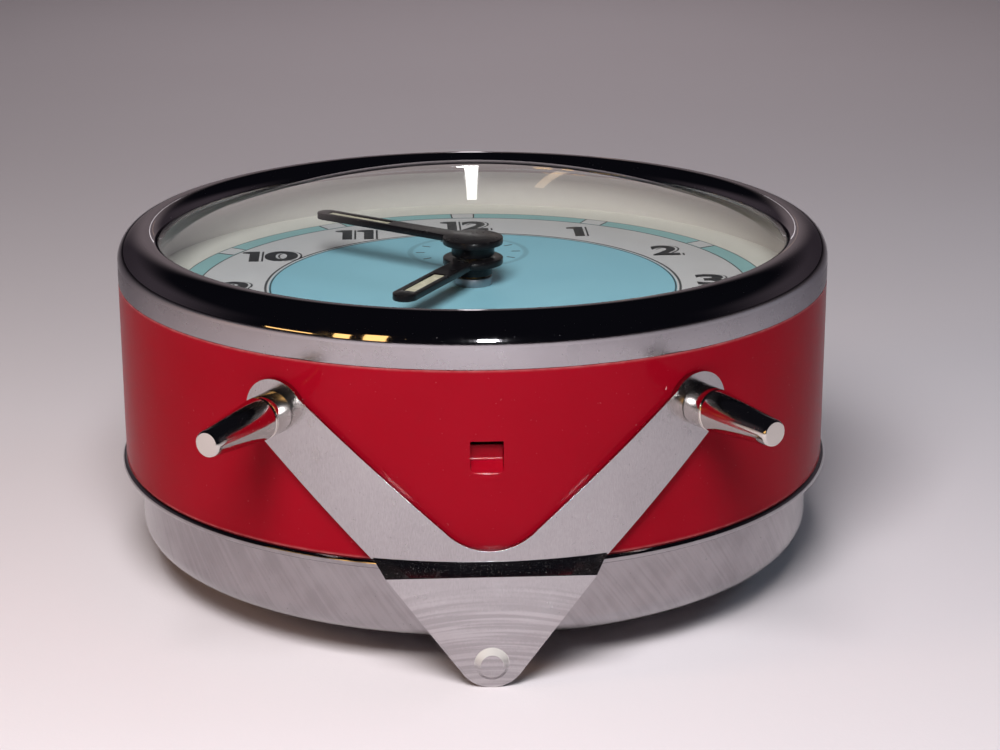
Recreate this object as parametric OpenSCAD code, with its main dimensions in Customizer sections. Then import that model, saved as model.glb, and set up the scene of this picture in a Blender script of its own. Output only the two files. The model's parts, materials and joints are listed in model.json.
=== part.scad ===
// Mechanical alarm clock with a drum case, lying on its back with the dial up.
// Millimetres. The clock's axis is Z, 12 o'clock is +Y and z = 0 is the table under its back.

/* [Case] */
// Outer diameter of the drum and of the bezel
case_d = 98; // [88:1:110]
// Height of the lacquered band
band_h = 24.8; // [22.2:0.2:32]
// Sheet thickness of the drum
case_wall = 0.8; // [0.6:0.1:1.2]
// Width of the lanced tab at 6 o'clock
lance_w = 4.1; // [3:0.1:6]
// Height of the lanced tab
lance_h = 4.3; // [3:0.1:6]
// Lower edge of the lanced tab above the band's lower edge
lance_up = 11.5; // [8:0.5:14]
// How far the lanced tab is to the right of 6 o'clock
lance_x = -0.4; // [-1:0.1:1]
// Radius of the lower corners of the lanced tab's window
lance_round = 1; // [0.6:0.1:1.4]

/* [Bezel and crystal] */
// Height of the straight skirt of the bezel
bezel_skirt_h = 2.9; // [2:0.1:5]
// Radius of the bezel's rounded rim
bezel_round = 3.7; // [3:0.1:4.5]
// Sheet thickness of the bezel
bezel_wall = 0.8; // [0.6:0.1:1.2]
// Width of the rim that the bezel shows round the dial
lip_w = 6; // [5:0.1:8]
// Drop of the rim's inner half from its crest to the crystal
lip_drop = 2.25; // [1.8:0.05:2.8]
// Rise of the domed crystal above its edge
dome_rise = 8.2; // [5:0.1:9]
// Thickness of the crystal
crystal_t = 1.2; // [0.8:0.1:1.6]

/* [Dial and hands] */
// Thickness of the dial
dial_t = 0.5; // [0.4:0.1:1]
// Depth of the dial's face below the top of the band
dial_drop = 2.4; // [1.6:0.1:3.4]
// Length of the minute hand from the axis
minute_len = 27.4; // [20:0.2:34]
// Length of the hour hand from the axis
hour_len = 22.4; // [14:0.2:28]
// Distance of the small alarm scale's hand from the axis, towards 12
alarm_up = 17.7; // [17:0.1:18.4]
// Length of the alarm hand
alarm_len = 6.6; // [4:0.2:8]
// Width of the hour hand's blade
hand_w = 3.4; // [2.4:0.1:4.4]
// Thickness of a hand
hand_t = 0.95; // [0.6:0.05:1.2]
// Diameter of the disc in the middle of each hand
hand_hub_d = 8.4; // [7:0.1:10]
// Where the minute hand points, in degrees clockwise from 12
minute_angle = 308; // [0:1:359]
// Where the hour hand points, in degrees clockwise from 12
hour_angle = 208; // [0:1:359]
// Where the alarm hand points, in degrees clockwise from 12
alarm_angle = 195; // [0:1:359]

/* [Stand] */
// Angle of each leg from 6 o'clock
leg_angle = 32; // [26:1:38]
// Depth of the legs below the band's upper edge
leg_down = 6.9; // [6:0.1:9]
// Length of a leg outside the stand plate
leg_len = 14.2; // [9:0.2:20]
// Length of the plain collar at the root of a leg
leg_collar = 3.2; // [2:0.1:5]
// Diameter of a leg at its collar
leg_d = 5.4; // [4.4:0.2:7]
// Diameter of a leg at its free end
leg_tip_d = 3.4; // [2.4:0.2:4]
// Sheet thickness of the stand plate
stand_t = 0.8; // [0.6:0.1:1.2]
// Width of the rounded ends of the stand plate's arms
arm_w = 8.4; // [7:0.2:10]
// Radius of the round notch between the arms
notch_r = 7.8; // [5:0.2:10]
// Lowest point of the notch above the band's lower edge
notch_up = 1.8; // [1.4:0.1:4]
// Width of the stand plate where it steps out over the rear bead
step_w = 29.4; // [24:0.2:34]
// Outward step of the stand plate over the rear bead
step_out = 1.5; // [1.3:0.1:2.4]
// Width of the tail just under the step
tail_w = 26; // [20:0.2:28]
// Radius of the tail's rounded tip
tail_tip_r = 4.5; // [3.4:0.1:6]
// Diameter of the foot pressed out of the tail
foot_d = 4.3; // [3:0.1:5]
// Height of that foot
foot_h = 0.7; // [0.4:0.1:1]

/* [Back cover] */
// How far the back cover stands in from the drum
cover_inset = 2; // [1.6:0.1:4]
// Height of the back cover
cover_h = 11.6; // [10.6:0.1:16]
// Rounding of the cover's rear edge
cover_round = 3; // [1.5:0.1:4]
// Sheet thickness of the cover
cover_wall = 0.8; // [0.6:0.1:1]
// Diameter of the recess that holds the keys
recess_d = 74; // [72:1:78]
// Depth of that recess
recess_depth = 5.9; // [5.4:0.1:7]
// Height of the cover's rear face above the table
table_gap = 4.1; // [3.6:0.1:5]
// Span of a winding key's wings
key_span = 17; // [14:0.5:18]
// Diameter of the hand setting knob
set_knob_d = 10; // [8:0.5:12]
// Diameter of the alarm setting knob
alarm_knob_d = 8.6; // [7:0.2:10]
// Diameter of the stop button
stop_d = 8; // [6:0.5:10]
// Travel of the stop button
stop_travel = 3; // [2:0.5:4]

/* [Movement] */
// Diameter of the movement plates
plate_d = 78; // [77:1:82]
// Thickness of the movement plates
plate_t = 1.5; // [1.2:0.1:1.8]
// Tooth module of the great wheels
great_m = 0.45; // [0.44:0.005:0.46]
// Tooth module of the centre wheel
centre_m = 0.32; // [0.31:0.005:0.33]
// Tooth module of the third wheel
third_m = 0.3; // [0.29:0.005:0.31]
// Tooth module of the fourth wheel
fourth_m = 0.25; // [0.24:0.005:0.26]
// Radius of the balance wheel
balance_r = 8.5; // [7:0.1:8.8]

/* [Hidden] */
$fn = 72;

// Clearances
run = 0.1;        // round a pivot in its hole
slip = 0.15;      // round a sleeve on its arbor
lift = 0.3;       // between pieces that turn above each other
hole_gap = 0.4;   // round an arbor in the back cover
eps = 0.01;
near = 0.995;     // an edge meets a round end a little inside its tangent

// Radii of the shells
case_r = case_d/2;
case_in = case_r - case_wall;
cover_r = case_r - cover_inset;
recess_r = recess_d/2;
sight_r = case_r - lip_w;
stand_in = case_r + 0.05;
stand_r = stand_in + stand_t;

// Heights of the case, from the table up
cover_z = table_gap;
floor_z = cover_z + recess_depth;
floor_in = floor_z + cover_wall;
band_z = cover_z + cover_h;
band_top = band_z + band_h;
skirt_top = band_top + bezel_skirt_h;
dial_z = band_top - dial_drop;
dial_back = dial_z - dial_t;
crest_r = case_r - bezel_round;
crest_z = skirt_top + bezel_round;
lip_gap = 0.05;
lip_steps = 12;
crystal_z = crest_z - lip_drop - lip_gap;
bead_r = 0.62;
bead_z = band_z - bead_r;

// Heights of the movement, which fills the room between the ratchets and the dial
ratchet_lift = 1.4;
ratchet_t = 1.3;
ratchet_gap = 0.5;
ratchet_z = floor_in + ratchet_lift;
rear_z = ratchet_z + ratchet_t + ratchet_gap;
rear_top = rear_z + plate_t;
motion_h = 5.1;
front_top = dial_back - motion_h;
front_z = front_top - plate_t;
plate_gap = front_z - rear_top;
plate_r = plate_d/2;

// Tooth counts
great_n = 72;
centre_pin_n = 12;
centre_n = 64;
third_pin_n = 8;
third_n = 60;
fourth_pin_n = 8;
fourth_n = 64;
escape_pin_n = 8;
escape_n = 15;
cannon_n = 12;
minute_n = 36;
minute_pin_n = 10;
hour_n = 40;
alarm_n = 40;
alarm_pin_n = 9;
alarm_escape_n = 12;
ratchet_n = 24;

// Where the arbors stand
function polar(r, a) = [r*cos(a), r*sin(a)];
function far(m, a, b) = m*(a + b)/2;
centre_at = [0, 0];
time_dir = 213;
time_at = polar(far(great_m, great_n, centre_pin_n), time_dir);
alarm_dir = -32;
alarm_at = polar(far(great_m, great_n, centre_pin_n) + 2.3, alarm_dir);
third_dir = 145;
third_at = polar(far(centre_m, centre_n, third_pin_n), third_dir);
fourth_dir = 115;
fourth_at = third_at + polar(far(third_m, third_n, fourth_pin_n), fourth_dir);
escape_dir = 50;
escape_at = fourth_at + polar(far(fourth_m, fourth_n, escape_pin_n), escape_dir);
escape_r = 5.6;
lever_half = 42;
lever_at = escape_at + [escape_r/cos(lever_half), 0];
balance_dir = -10;
lever_gap = 2;       // from the rim of the balance to the arbor of the lever
balance_at = lever_at + polar(balance_r + lever_gap, balance_dir);
alarm_set_at = [0, alarm_up];
hour_m = alarm_up/hour_n;
minute_dir = 200;
minute_at = polar(far(hour_m, hour_n, minute_pin_n), minute_dir);
motion_m = 2*norm(minute_at)/(cannon_n + minute_n);
alarm_escape_dir = 75;
alarm_escape_at = alarm_at + polar(far(great_m, great_n, alarm_pin_n), alarm_escape_dir);
alarm_escape_r = 4.2;
hammer_half = 45;
hammer_dir = 18;
hammer_at = alarm_escape_at + polar(alarm_escape_r/cos(hammer_half), hammer_dir);
pillar_dirs = [55, 150, 270, -5];
pillar_ring = plate_r - 3;
post_dirs = [100, 215, 340];
post_ring = 31;
dial_foot_dirs = [30, 150, 270];
dial_foot_ring = 34;
stop_z = (rear_top + front_z)/2;

// Radii and heights of the arbors, pipes and pinions
arbor_r = 0.8;
pivot_r = 0.5;
centre_r = 0.8;
cannon_r = 1.2;
collar_r = 1.8;
hour_pipe_in = cannon_r + run;
hour_pipe_r = hour_pipe_in + 0.4;
eyelet_r = 2.65;
eyelet_in = hour_pipe_r + 0.3;
dial_hole_r = eyelet_r - 0.4;
wind_r = 1.6;
set_r = 1;
great_t = 1.2;
great_z = front_z - 0.4*plate_gap;
barrel_z = rear_top + 0.07*plate_gap;
barrel_inset = 2.6;
barrel_r = great_m*great_n/2 - barrel_inset;
barrel_wall = 0.7;
collar_z = front_z - 0.052*plate_gap;
centre_wheel_z = front_z - 0.18*plate_gap;
third_wheel_z = front_z - 0.277*plate_gap;
fourth_wheel_z = rear_top + 0.42*plate_gap;
escape_wheel_z = rear_top + 0.2*plate_gap;
wheel_t = 0.9;
leaf_over = 0.3;
lever_z = escape_wheel_z + wheel_t + 0.5;
lever_t = 0.8;
lever_turn = 5;
roller_z = lever_z + lever_t + lift;
ratchet_r = 6;
click_far = 9.2;
click_nose = 44;
click_r = 1.7;
click_t = ratchet_t - lift;
cannon_z = front_top + 0.5;
cannon_seat = 3;
minute_wheel_z = cannon_z + lift;
hour_wheel_z = cannon_z + 1.9;
motion_t = 0.7;
eyelet_h = 1.2;
alarm_hand_z = dial_z + lift;
alarm_hub_h = 0.8;
hour_hub_z = dial_z + eyelet_h + lift;
hour_hub_h = 1.45;
hour_hand_z = hour_hub_z + hour_hub_h;
minute_hub_z = hour_hand_z + hand_t + lift;
minute_hub_h = 1.6;
minute_hand_z = minute_hub_z + minute_hub_h;
alarm_hub_r = 1.5;
hour_hub_r = 2.7;
minute_hub_r = 3;
minute_boss_r = 2.4;
alarm_hand_t = 0.4;
lume_t = 0.25;
lume_sink = 0.2;  // of the luminous inlay below the face of a hand
minute_cap = 0.3; // over the end of the cannon pinion

// Small parts
stud_r = 1.5;
nut_h = 1.6;
nut_across = 5.5;
pin_r = 0.25;
impulse_r = 2.4;
stop_r = 2;
stop_collar = 1.2;
screw_r = 1;
screw_head_r = 2.3;
lance_gap = 0.05;
screw_head_h = 1.2;
screw_in = 2;
slot_w = 0.6;
post_r = 2.2;
pillar_r = 2.2;
pillar_end_r = 1.2;
pillar_end_h = 1.6;
cap_t = 0.7;
leg_z = band_top - leg_down;

// Flat helpers
function tangent(p, c, r, side) =
    let (v = c - p, d = norm(v), a = atan2(v[1], v[0]) + side*asin(r/d))
    p + sqrt(d*d - r*r)*[cos(a), sin(a)];
function flip(p) = [-p[0], p[1]];

module ring(r_out, r_in, h) {
    difference() {
        cylinder(r = r_out, h = h);
        translate([0, 0, -1]) cylinder(r = r_in, h = h + 2);
    }
}

// Stands children on an arbor's place at a height
module at(p, z = 0) {
    translate([p[0], p[1], z]) children();
}

// Turns children so that their +Z points outwards, at an angle from 6 o'clock
module radial(angle, z) {
    translate([0, 0, z]) rotate([0, 0, angle]) rotate([90, 0, 0]) children();
}

// Involute teeth. A pinion has long teeth and its wheel short ones, so that few leaves still mesh
pressure = 20;
shift = 0.5;
backlash = 0.06;
function involute(a) = tan(a) - a*PI/180;
function half_tooth(r, n, m, x) =
    let (rp = n*m/2, rb = rp*cos(pressure), a = acos(min(1, rb/max(r, rb))))
    ((m*(PI/2 + 2*x*tan(pressure)) - backlash)/(2*rp) + involute(pressure) - involute(a))*180/PI;
function stations(root, base, pitch, tip) =
    root < base ? [root, base, pitch, tip] : [root, pitch, tip];
function gear_points(n, m, x, add, ded) =
    let (rp = n*m/2, rs = stations(rp - ded*m, rp*cos(pressure), rp, rp + add*m), k = len(rs) - 1)
    [for (i = [0:n - 1]) each concat(
        [for (j = [0:k]) polar(rs[j], i*360/n - half_tooth(rs[j], n, m, x))],
        [for (j = [0:k]) polar(rs[k - j], i*360/n + half_tooth(rs[k - j], n, m, x))])];

// The turn of gear b that puts it in mesh with gear a, whose first tooth points along turn_a
function mesh(dir, na, turn_a, nb) = dir + 180 - 360/nb*(0.5 - (dir - turn_a)*na/360);

module pinion(n, m, turn, h) {
    rotate([0, 0, turn]) linear_extrude(h) polygon(gear_points(n, m, shift, 1.1, 0.75));
}

// A wheel with crossings between its hub and its rim.
// One that is turned by another wheel has the long teeth of a pinion
module wheel(n, m, turn, h, bore, hub, arms, long = false) {
    rim = n*m/2 - 1.4*m - 0.9;
    rotate([0, 0, turn]) linear_extrude(h) difference() {
        polygon(long ? gear_points(n, m, shift, 1.1, 0.75) : gear_points(n, m, -shift, 0.45, 1.4));
        circle(bore);
        if (arms > 0) difference() {
            circle(rim);
            circle(hub);
            for (i = [0:arms - 1]) rotate(i*360/arms) translate([0, -0.6]) square([rim + 1, 1.2]);
        }
    }
}

// A solid arbor between the plates with a thin pivot in each
module pivoted_arbor() {
    translate([0, 0, rear_top + lift]) cylinder(r = arbor_r, h = plate_gap - 2*lift);
    translate([0, 0, rear_z]) cylinder(r = pivot_r, h = plate_gap + 2*plate_t);
}

module hex(across, h) {
    cylinder(r = across/2/cos(30), h = h, $fn = 6);
}

// A flat spiral strip
function spiral(r0, r1, turns, t, steps) =
    let (n = turns*steps, f = function (i, o) polar(r0 + (r1 - r0)*i/n + o, i*360/steps))
    concat([for (i = [0:n]) f(i, 0)], [for (i = [n:-1:0]) f(i, t)]);

// The case

// The tab of the lance swings inwards over its lower part and then stands upright behind the window
module lance_tab() {
    steps = 8;
    bent = 0.55;
    lap = 0.3;
    skin = 0.03;
    inset = 1.15*(case_wall + 0.2);
    low = band_z + lance_up;
    tall = lance_h - case_wall;
    face = [[skin, low - lap], for (i = [0:steps])
        [skin + inset*(0.5 - 0.5*cos(180*i/steps)), low + tall*bent*i/steps], [skin + inset, low + tall]];
    back = [for (i = [len(face) - 1:-1:0]) face[i] + [case_wall, 0]];
    rotate([90, 0, 90]) translate([-case_r, 0, lance_x - lance_w/2 + lance_gap])
        linear_extrude(lance_w - 2*lance_gap) polygon(concat(face, back));
}

module lance_window() {
    through = 5;
    translate([lance_x - lance_w/2, -case_r - 1, band_z + lance_up]) {
        translate([0, 0, lance_round]) cube([lance_w, through, lance_h - lance_round]);
        translate([lance_round, 0, 0]) cube([lance_w - 2*lance_round, through, lance_h/2]);
        for (x = [lance_round, lance_w - lance_round]) translate([x, 0, lance_round]) rotate([-90, 0, 0])
            cylinder(r = near*lance_round, h = through);
    }
}

module case_drum() {
    ledge = 2.7;
    color("firebrick") {
        difference() {
            union() {
                translate([0, 0, band_z]) ring(case_r, case_in, band_h);
                translate([0, 0, dial_back - case_wall]) ring(case_in + eps, case_in - ledge, case_wall);
            }
            for (side = [-1, 1]) radial(side*leg_angle, leg_z) cylinder(r = stud_r + run, h = case_r + 2);
            radial(180, stop_z) cylinder(r = stop_r + run, h = case_r + 2);
            lance_window();
        }
        lance_tab();
    }
}

// Curve of the rim's inner half, a quarter of an ellipse from the crest down to the crystal
function lip_curve(across, down) = [
    for (i = [0:lip_steps])
        [crest_r - across*sin(90*i/lip_steps), crest_z - lip_drop + down*cos(90*i/lip_steps)]
];

function turned_back(points) = [for (i = [len(points) - 1:-1:0]) points[i]];

module bezel() {
    in_r = case_in - 0.05;
    lip_across = crest_r - sight_r;
    color("silver") rotate_extrude() {
        // skirt and the tongue that presses the dial's edge down
        translate([in_r - bezel_wall, band_top]) square([case_r - in_r + bezel_wall, bezel_skirt_h]);
        translate([in_r - bezel_wall, dial_z]) square([bezel_wall, dial_drop + eps]);
        // outer half of the rounded rim
        translate([crest_r, skirt_top]) intersection() {
            difference() {
                circle(bezel_round);
                circle(bezel_round - bezel_wall);
            }
            translate([0, -eps]) square(bezel_round + 1);
        }
        // inner half, which ends on the crystal
        polygon(concat(
            [[crest_r + eps, crest_z - bezel_wall], [crest_r + eps, crest_z]],
            lip_curve(lip_across, lip_drop),
            turned_back(lip_curve(lip_across - bezel_wall, lip_drop - bezel_wall))
        ));
    }
}

module crystal() {
    dome_r = (sight_r*sight_r + dome_rise*dome_rise)/(2*dome_rise);
    flange = 1.6;
    color("lightcyan", 0.35) rotate_extrude() {
        intersection() {
            translate([0, crystal_z + dome_rise - dome_r]) difference() {
                circle(dome_r, $fn = 720);
                circle(dome_r - crystal_t, $fn = 720);
            }
            translate([0, crystal_z - crystal_t]) square([sight_r, dome_rise + 2*crystal_t]);
        }
        translate([sight_r - flange/2, crystal_z - crystal_t]) square([1.5*flange, crystal_t]);
    }
}

module dial() {
    edge_r = case_in - 0.3;
    color("lightblue") {
        difference() {
            translate([0, 0, dial_back]) ring(edge_r, dial_hole_r, dial_t);
            at(alarm_set_at, dial_back - 1) cylinder(r = set_r + hole_gap, h = dial_t + 2);
        }
        for (a = dial_foot_dirs) at(polar(dial_foot_ring, a), front_top)
            cylinder(r = 1.2, h = dial_back - front_top + eps);
    }
}

// A turned ring that lines the dial's hole
module dial_eyelet() {
    color("silver") {
        translate([0, 0, dial_z]) ring(eyelet_r, eyelet_in, eyelet_h);
        translate([0, 0, dial_back]) ring(dial_hole_r, eyelet_in, dial_t + eps);
    }
}

module back_cover() {
    edge = cover_r - cover_round;
    color("lightgray") difference() {
        union() {
            rotate_extrude() {
                // wall, rounded rear edge and rear face
                translate([cover_r - cover_wall, cover_z + cover_round])
                    square([cover_wall, cover_h - cover_round]);
                translate([edge, cover_z + cover_round]) intersection() {
                    difference() {
                        circle(cover_round);
                        circle(cover_round - cover_wall);
                    }
                    translate([-eps, -cover_round - 1]) square([cover_round + 2, cover_round + 1 + eps]);
                }
                translate([recess_r, cover_z]) square([edge - recess_r, cover_wall]);
                // recess for the keys
                translate([recess_r, cover_z]) square([cover_wall, recess_depth + cover_wall]);
                translate([0, floor_z]) square([recess_r + eps, cover_wall]);
                // brim with its rolled bead under the drum
                translate([cover_r - cover_wall, band_z - 0.7]) square([case_r - cover_r + cover_wall, 0.7]);
                translate([case_r - 0.1, bead_z]) circle(bead_r);
            }
        }
        translate([0, 0, floor_z - 1]) {
            cylinder(r = centre_r + hole_gap, h = 4);
            at(time_at) cylinder(r = wind_r + hole_gap, h = 4);
            at(alarm_at) cylinder(r = wind_r + hole_gap, h = 4);
            at(alarm_set_at) cylinder(r = set_r + hole_gap, h = 4);
            for (a = post_dirs) at(polar(post_ring, a)) cylinder(r = screw_r + run, h = 4);
            at(balance_at) rotate([0, 0, regulator_dir])
                slot_sector(regulator_far, 2.6, regulator_turn + 8, 4);
        }
    }
}

// An arc-shaped slot round the origin, as a solid to cut with
module slot_sector(r, w, half, h) {
    rotate([0, 0, -half]) rotate_extrude(angle = 2*half) translate([r - w/2, 0]) square([w, h]);
}

module cover_screws() {
    color("gainsboro") for (a = post_dirs) at(polar(post_ring, a), floor_z) {
        difference() {
            translate([0, 0, -screw_head_h]) cylinder(r = screw_head_r, h = screw_head_h);
            translate([-screw_head_r, -slot_w/2, -1.5*screw_head_h])
                cube([2*screw_head_r, slot_w, screw_head_h]);
        }
        cylinder(r = screw_r, h = cover_wall + screw_in);
    }
}

module back_posts() {
    color("silver") for (a = post_dirs) at(polar(post_ring, a), floor_in) difference() {
        cylinder(r = post_r, h = rear_z - floor_in);
        translate([0, 0, -screw_in]) cylinder(r = screw_r, h = 2*screw_in + run);
    }
}

// The stand

module stand_outline() {
    leg_x = stand_r*sin(leg_angle);
    reach = arm_w/2*0.88;
    leg = [leg_x, leg_z];
    inner = leg + reach*[-sin(43), cos(43)];
    outer = leg + reach*[sin(45.5), -cos(45.5)];
    corner = [step_w/2, step_top];
    notch = [0, band_z + notch_up + notch_r];
    touch = tangent(inner, notch, notch_r*near, 1);
    difference() {
        polygon([outer, corner, flip(corner), flip(outer), flip(inner), flip(touch), touch, inner]);
        translate(notch) circle(notch_r);
    }
}

module tail_outline() {
    top = [tail_w/2, step_bottom];
    tip = [0, tail_tip_r];
    touch = tangent(top, tip, tail_tip_r*near, 1);
    polygon([top, flip(top), flip(touch), touch]);
    translate(tip) circle(tail_tip_r);
}

step_top = band_z + 0.3;
step_bottom = band_z - 1;
tail_y = stand_in + step_out;

// The sheet of the step, bent from the drum's curve above to the flat tail below
module step_bend() {
    n = 16;
    skin = 0.04;
    lap = 0.2;
    function across(w, i) = w*(i/n - 0.5);
    function on_drum(r, x) = [x, -sqrt(r*r - x*x), step_top + lap];
    function on_tail(y, x) = [x, -y, step_bottom - lap];
    points = [for (i = [0:n]) each [
        on_drum(stand_r - skin, across(step_w - lap, i)), on_drum(stand_in + skin, across(step_w - lap, i)),
        on_tail(tail_y + stand_t - skin, across(tail_w - lap, i)),
        on_tail(tail_y + skin, across(tail_w - lap, i))]];
    function quad(a, b, c, d) = [[a, b, c], [a, c, d]];
    faces = [for (i = [0:n - 1]) let (a = 4*i, b = 4*i + 4) each concat(
        quad(a, b, b + 2, a + 2), quad(b + 1, a + 1, a + 3, b + 3),
        quad(a + 1, b + 1, b, a), quad(a + 2, b + 2, b + 3, a + 3))];
    ends = concat(quad(1, 0, 2, 3), quad(4*n, 4*n + 1, 4*n + 3, 4*n + 2));
    polyhedron(points, concat(faces, ends));
}

module stand_plate() {
    shell_h = leg_z - band_z + arm_w;
    color("gainsboro") difference() {
        union() {
            intersection() {
                translate([0, 0, band_z]) ring(stand_r, stand_in, shell_h);
                rotate([90, 0, 0]) linear_extrude(stand_r + 5) stand_outline();
            }
            for (side = [-1, 1]) intersection() {
                translate([0, 0, band_z]) ring(stand_r, stand_in, shell_h);
                radial(side*leg_angle, leg_z) translate([0, 0, case_r/2]) cylinder(r = arm_w/2, h = case_r);
            }
            step_bend();
            translate([0, -tail_y, 0]) rotate([90, 0, 0]) linear_extrude(stand_t) tail_outline();
            translate([0, -tail_y - stand_t + eps, tail_tip_r - 1.35]) rotate([90, 0, 0])
                cylinder(r1 = foot_d/2, r2 = foot_d/2 - foot_h, h = foot_h);
        }
        for (side = [-1, 1]) radial(side*leg_angle, leg_z) cylinder(r = stud_r + run, h = 2*stand_r);
    }
}

// A turned leg: stud, plain collar with a groove at its end, long taper and a chamfered end
module leg(side) {
    r = leg_d/2;
    tip = leg_tip_d/2;
    stud = stand_t + case_wall + nut_h + 0.6;
    groove = 0.25;
    chamfer = 0.5;
    color("silver") radial(side*leg_angle, leg_z) translate([0, 0, stand_r]) rotate_extrude() polygon([
        [0, -stud],
        [stud_r, -stud],
        [stud_r, 0],
        [r - groove/2, 0],
        [r, groove/2],
        [r, leg_collar - groove],
        [r - groove, leg_collar],
        [r, leg_collar + groove],
        [tip, leg_len - chamfer],
        [tip - chamfer/2, leg_len],
        [0, leg_len]
    ]);
}

module left_leg() {
    leg(-1);
}

module right_leg() {
    leg(1);
}

module leg_nuts() {
    color("silver") for (side = [-1, 1]) radial(side*leg_angle, leg_z)
        translate([0, 0, case_in - nut_h - 0.15]) difference() {
            hex(nut_across, nut_h);
            translate([0, 0, -1]) cylinder(r = stud_r, h = nut_h + 2);
        }
}

// The frame of the movement

pivots = [third_at, fourth_at, escape_at, lever_at, alarm_escape_at, hammer_at];

module plate_holes(h) {
    for (p = pivots) at(p) cylinder(r = pivot_r + run, h = h);
    at(time_at) cylinder(r = wind_r + run, h = h);
    at(alarm_at) cylinder(r = wind_r + run, h = h);
    at(alarm_set_at) cylinder(r = set_r + run, h = h);
    at(balance_at) cylinder(r = stud_r, h = h);
    for (a = pillar_dirs) at(polar(pillar_ring, a)) cylinder(r = pillar_end_r, h = h);
}

module front_plate() {
    color("khaki") {
        difference() {
            translate([0, 0, front_z]) cylinder(r = plate_r, h = plate_t);
            translate([0, 0, front_z - 1]) {
                cylinder(r = cannon_r + run, h = plate_t + 2);
                plate_holes(plate_t + 2);
            }
        }
        at(minute_at, front_top - eps) cylinder(r = arbor_r, h = dial_back - front_top - 2*lift);
    }
}

module rear_plate() {
    color("khaki") {
        difference() {
            translate([0, 0, rear_z]) cylinder(r = plate_r, h = plate_t);
            translate([0, 0, rear_z - 1]) {
                cylinder(r = centre_r + run, h = plate_t + 2);
                plate_holes(plate_t + 2);
                at(strike_at) cylinder(r = strike_r + hole_gap, h = plate_t + 2);
            }
        }
        for (p = [time_click_at, alarm_click_at]) at(p, ratchet_z)
            cylinder(r = arbor_r, h = rear_z - ratchet_z + eps);
    }
}

module pillars() {
    color("goldenrod") for (a = pillar_dirs) at(polar(pillar_ring, a)) {
        translate([0, 0, rear_top]) cylinder(r = pillar_r, h = plate_gap);
        translate([0, 0, rear_z - pillar_end_h])
            cylinder(r = pillar_end_r, h = plate_gap + 2*plate_t + pillar_end_h);
    }
}

module pillar_nuts() {
    h = pillar_end_h - 0.3;
    color("silver") for (a = pillar_dirs) at(polar(pillar_ring, a), rear_z - h) difference() {
        hex(4.5, h);
        translate([0, 0, -1]) cylinder(r = pillar_end_r, h = h + 2);
    }
}

module strike_post() {
    color("gray") at(strike_at, cover_z + cover_wall)
        cylinder(r = strike_r, h = hammer_z + 2*hammer_t - cover_z - cover_wall);
}

module click_springs() {
    color("steelblue") for (p = [[time_click_at, time_click_dir], [alarm_click_at, alarm_click_dir]])
        at(p[0], ratchet_z) rotate([0, 0, p[1]]) translate([click_r + 0.9, -4, 0]) {
            cube([0.3, click_far - 0.2, click_t]);
            translate([-0.6, click_far - 1.8, 0]) cube([1.5, 1.5, rear_z - ratchet_z]);
        }
}

// The hands and the wheels under the dial

module centre_arbor() {
    color("silver") {
        translate([0, 0, set_knob_h - knob_seat])
            cylinder(r = centre_r, h = cannon_z + cannon_seat - set_knob_h + knob_seat);
        translate([0, 0, collar_z]) cylinder(r = collar_r, h = (front_z - collar_z)*0.62);
    }
}

module cannon_pinion() {
    color("goldenrod") translate([0, 0, cannon_z]) difference() {
        union() {
            pinion(cannon_n, motion_m, mesh(minute_dir + 180, minute_n, 0, cannon_n), 1.6);
            cylinder(r = cannon_r, h = minute_hand_z + hand_t - minute_cap - cannon_z);
        }
        translate([0, 0, -1]) cylinder(r = centre_r, h = cannon_seat + 1);
    }
}

module friction_spring() {
    cup = front_z - collar_z;
    cup_r = 3.2;
    color("goldenrod") rotate_extrude() polygon([
        [centre_r, collar_z - cup*0.37],
        [centre_r, collar_z],
        [collar_r, collar_z],
        [cup_r, collar_z - cup*0.75],
        [cup_r, collar_z - cup],
        [collar_r, collar_z - cup*0.37]
    ]);
}

// A moulded hand along +X: disc, neck and a wider blade with a pocket for the luminous inlay
module hand_outline(length, neck_w, blade_w) {
    start = length*0.36;
    circle(hand_hub_d/2);
    polygon([[0, -neck_w/2], [start, -blade_w/2], [length - blade_w/2, -blade_w/2],
        [length - blade_w/2, blade_w/2], [start, blade_w/2], [0, neck_w/2]]);
    translate([length - blade_w/2, 0]) circle(blade_w/2);
}

module lume_outline(length, w, ends) {
    translate([length*ends[0], -w/2]) square([length*(ends[1] - ends[0]), w]);
}

// The inlay lies a little below the face, and the bore ends at bore_top
module hand(length, angle, z, neck_w, blade_w, lume_w, lume_at, hub_r, hub_h, bore, bore_top) {
    difference() {
        union() {
            translate([0, 0, z]) rotate([0, 0, 90 - angle]) difference() {
                linear_extrude(hand_t) hand_outline(length, neck_w, blade_w);
                translate([0, 0, hand_t - lume_sink - lume_t]) linear_extrude(hand_t)
                    lume_outline(length, lume_w, lume_at);
            }
            translate([0, 0, z - hub_h]) cylinder(r = hub_r, h = hub_h + eps);
        }
        translate([0, 0, z - hub_h - 1]) cylinder(r = bore, h = bore_top - z + hub_h + 1);
    }
}

hour_lume_w = hand_w*0.5;
minute_w = hand_w*0.85;
minute_lume_w = minute_w*0.45;
// Ends of the inlays as shares of a hand's length
minute_lume_at = [0.53, 0.93];
hour_lume_at = [0.46, 0.88];

module minute_hand() {
    color("black") hand(minute_len, minute_angle, minute_hand_z, minute_w*1.1, minute_w, minute_lume_w,
        minute_lume_at, minute_hub_r, minute_hub_h, cannon_r, minute_hand_z + hand_t - minute_cap);
}

module minute_lume() {
    color("cornsilk") translate([0, 0, minute_hand_z + hand_t - lume_sink - lume_t])
        rotate([0, 0, 90 - minute_angle]) linear_extrude(lume_t)
            lume_outline(minute_len, minute_lume_w, minute_lume_at);
}

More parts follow.
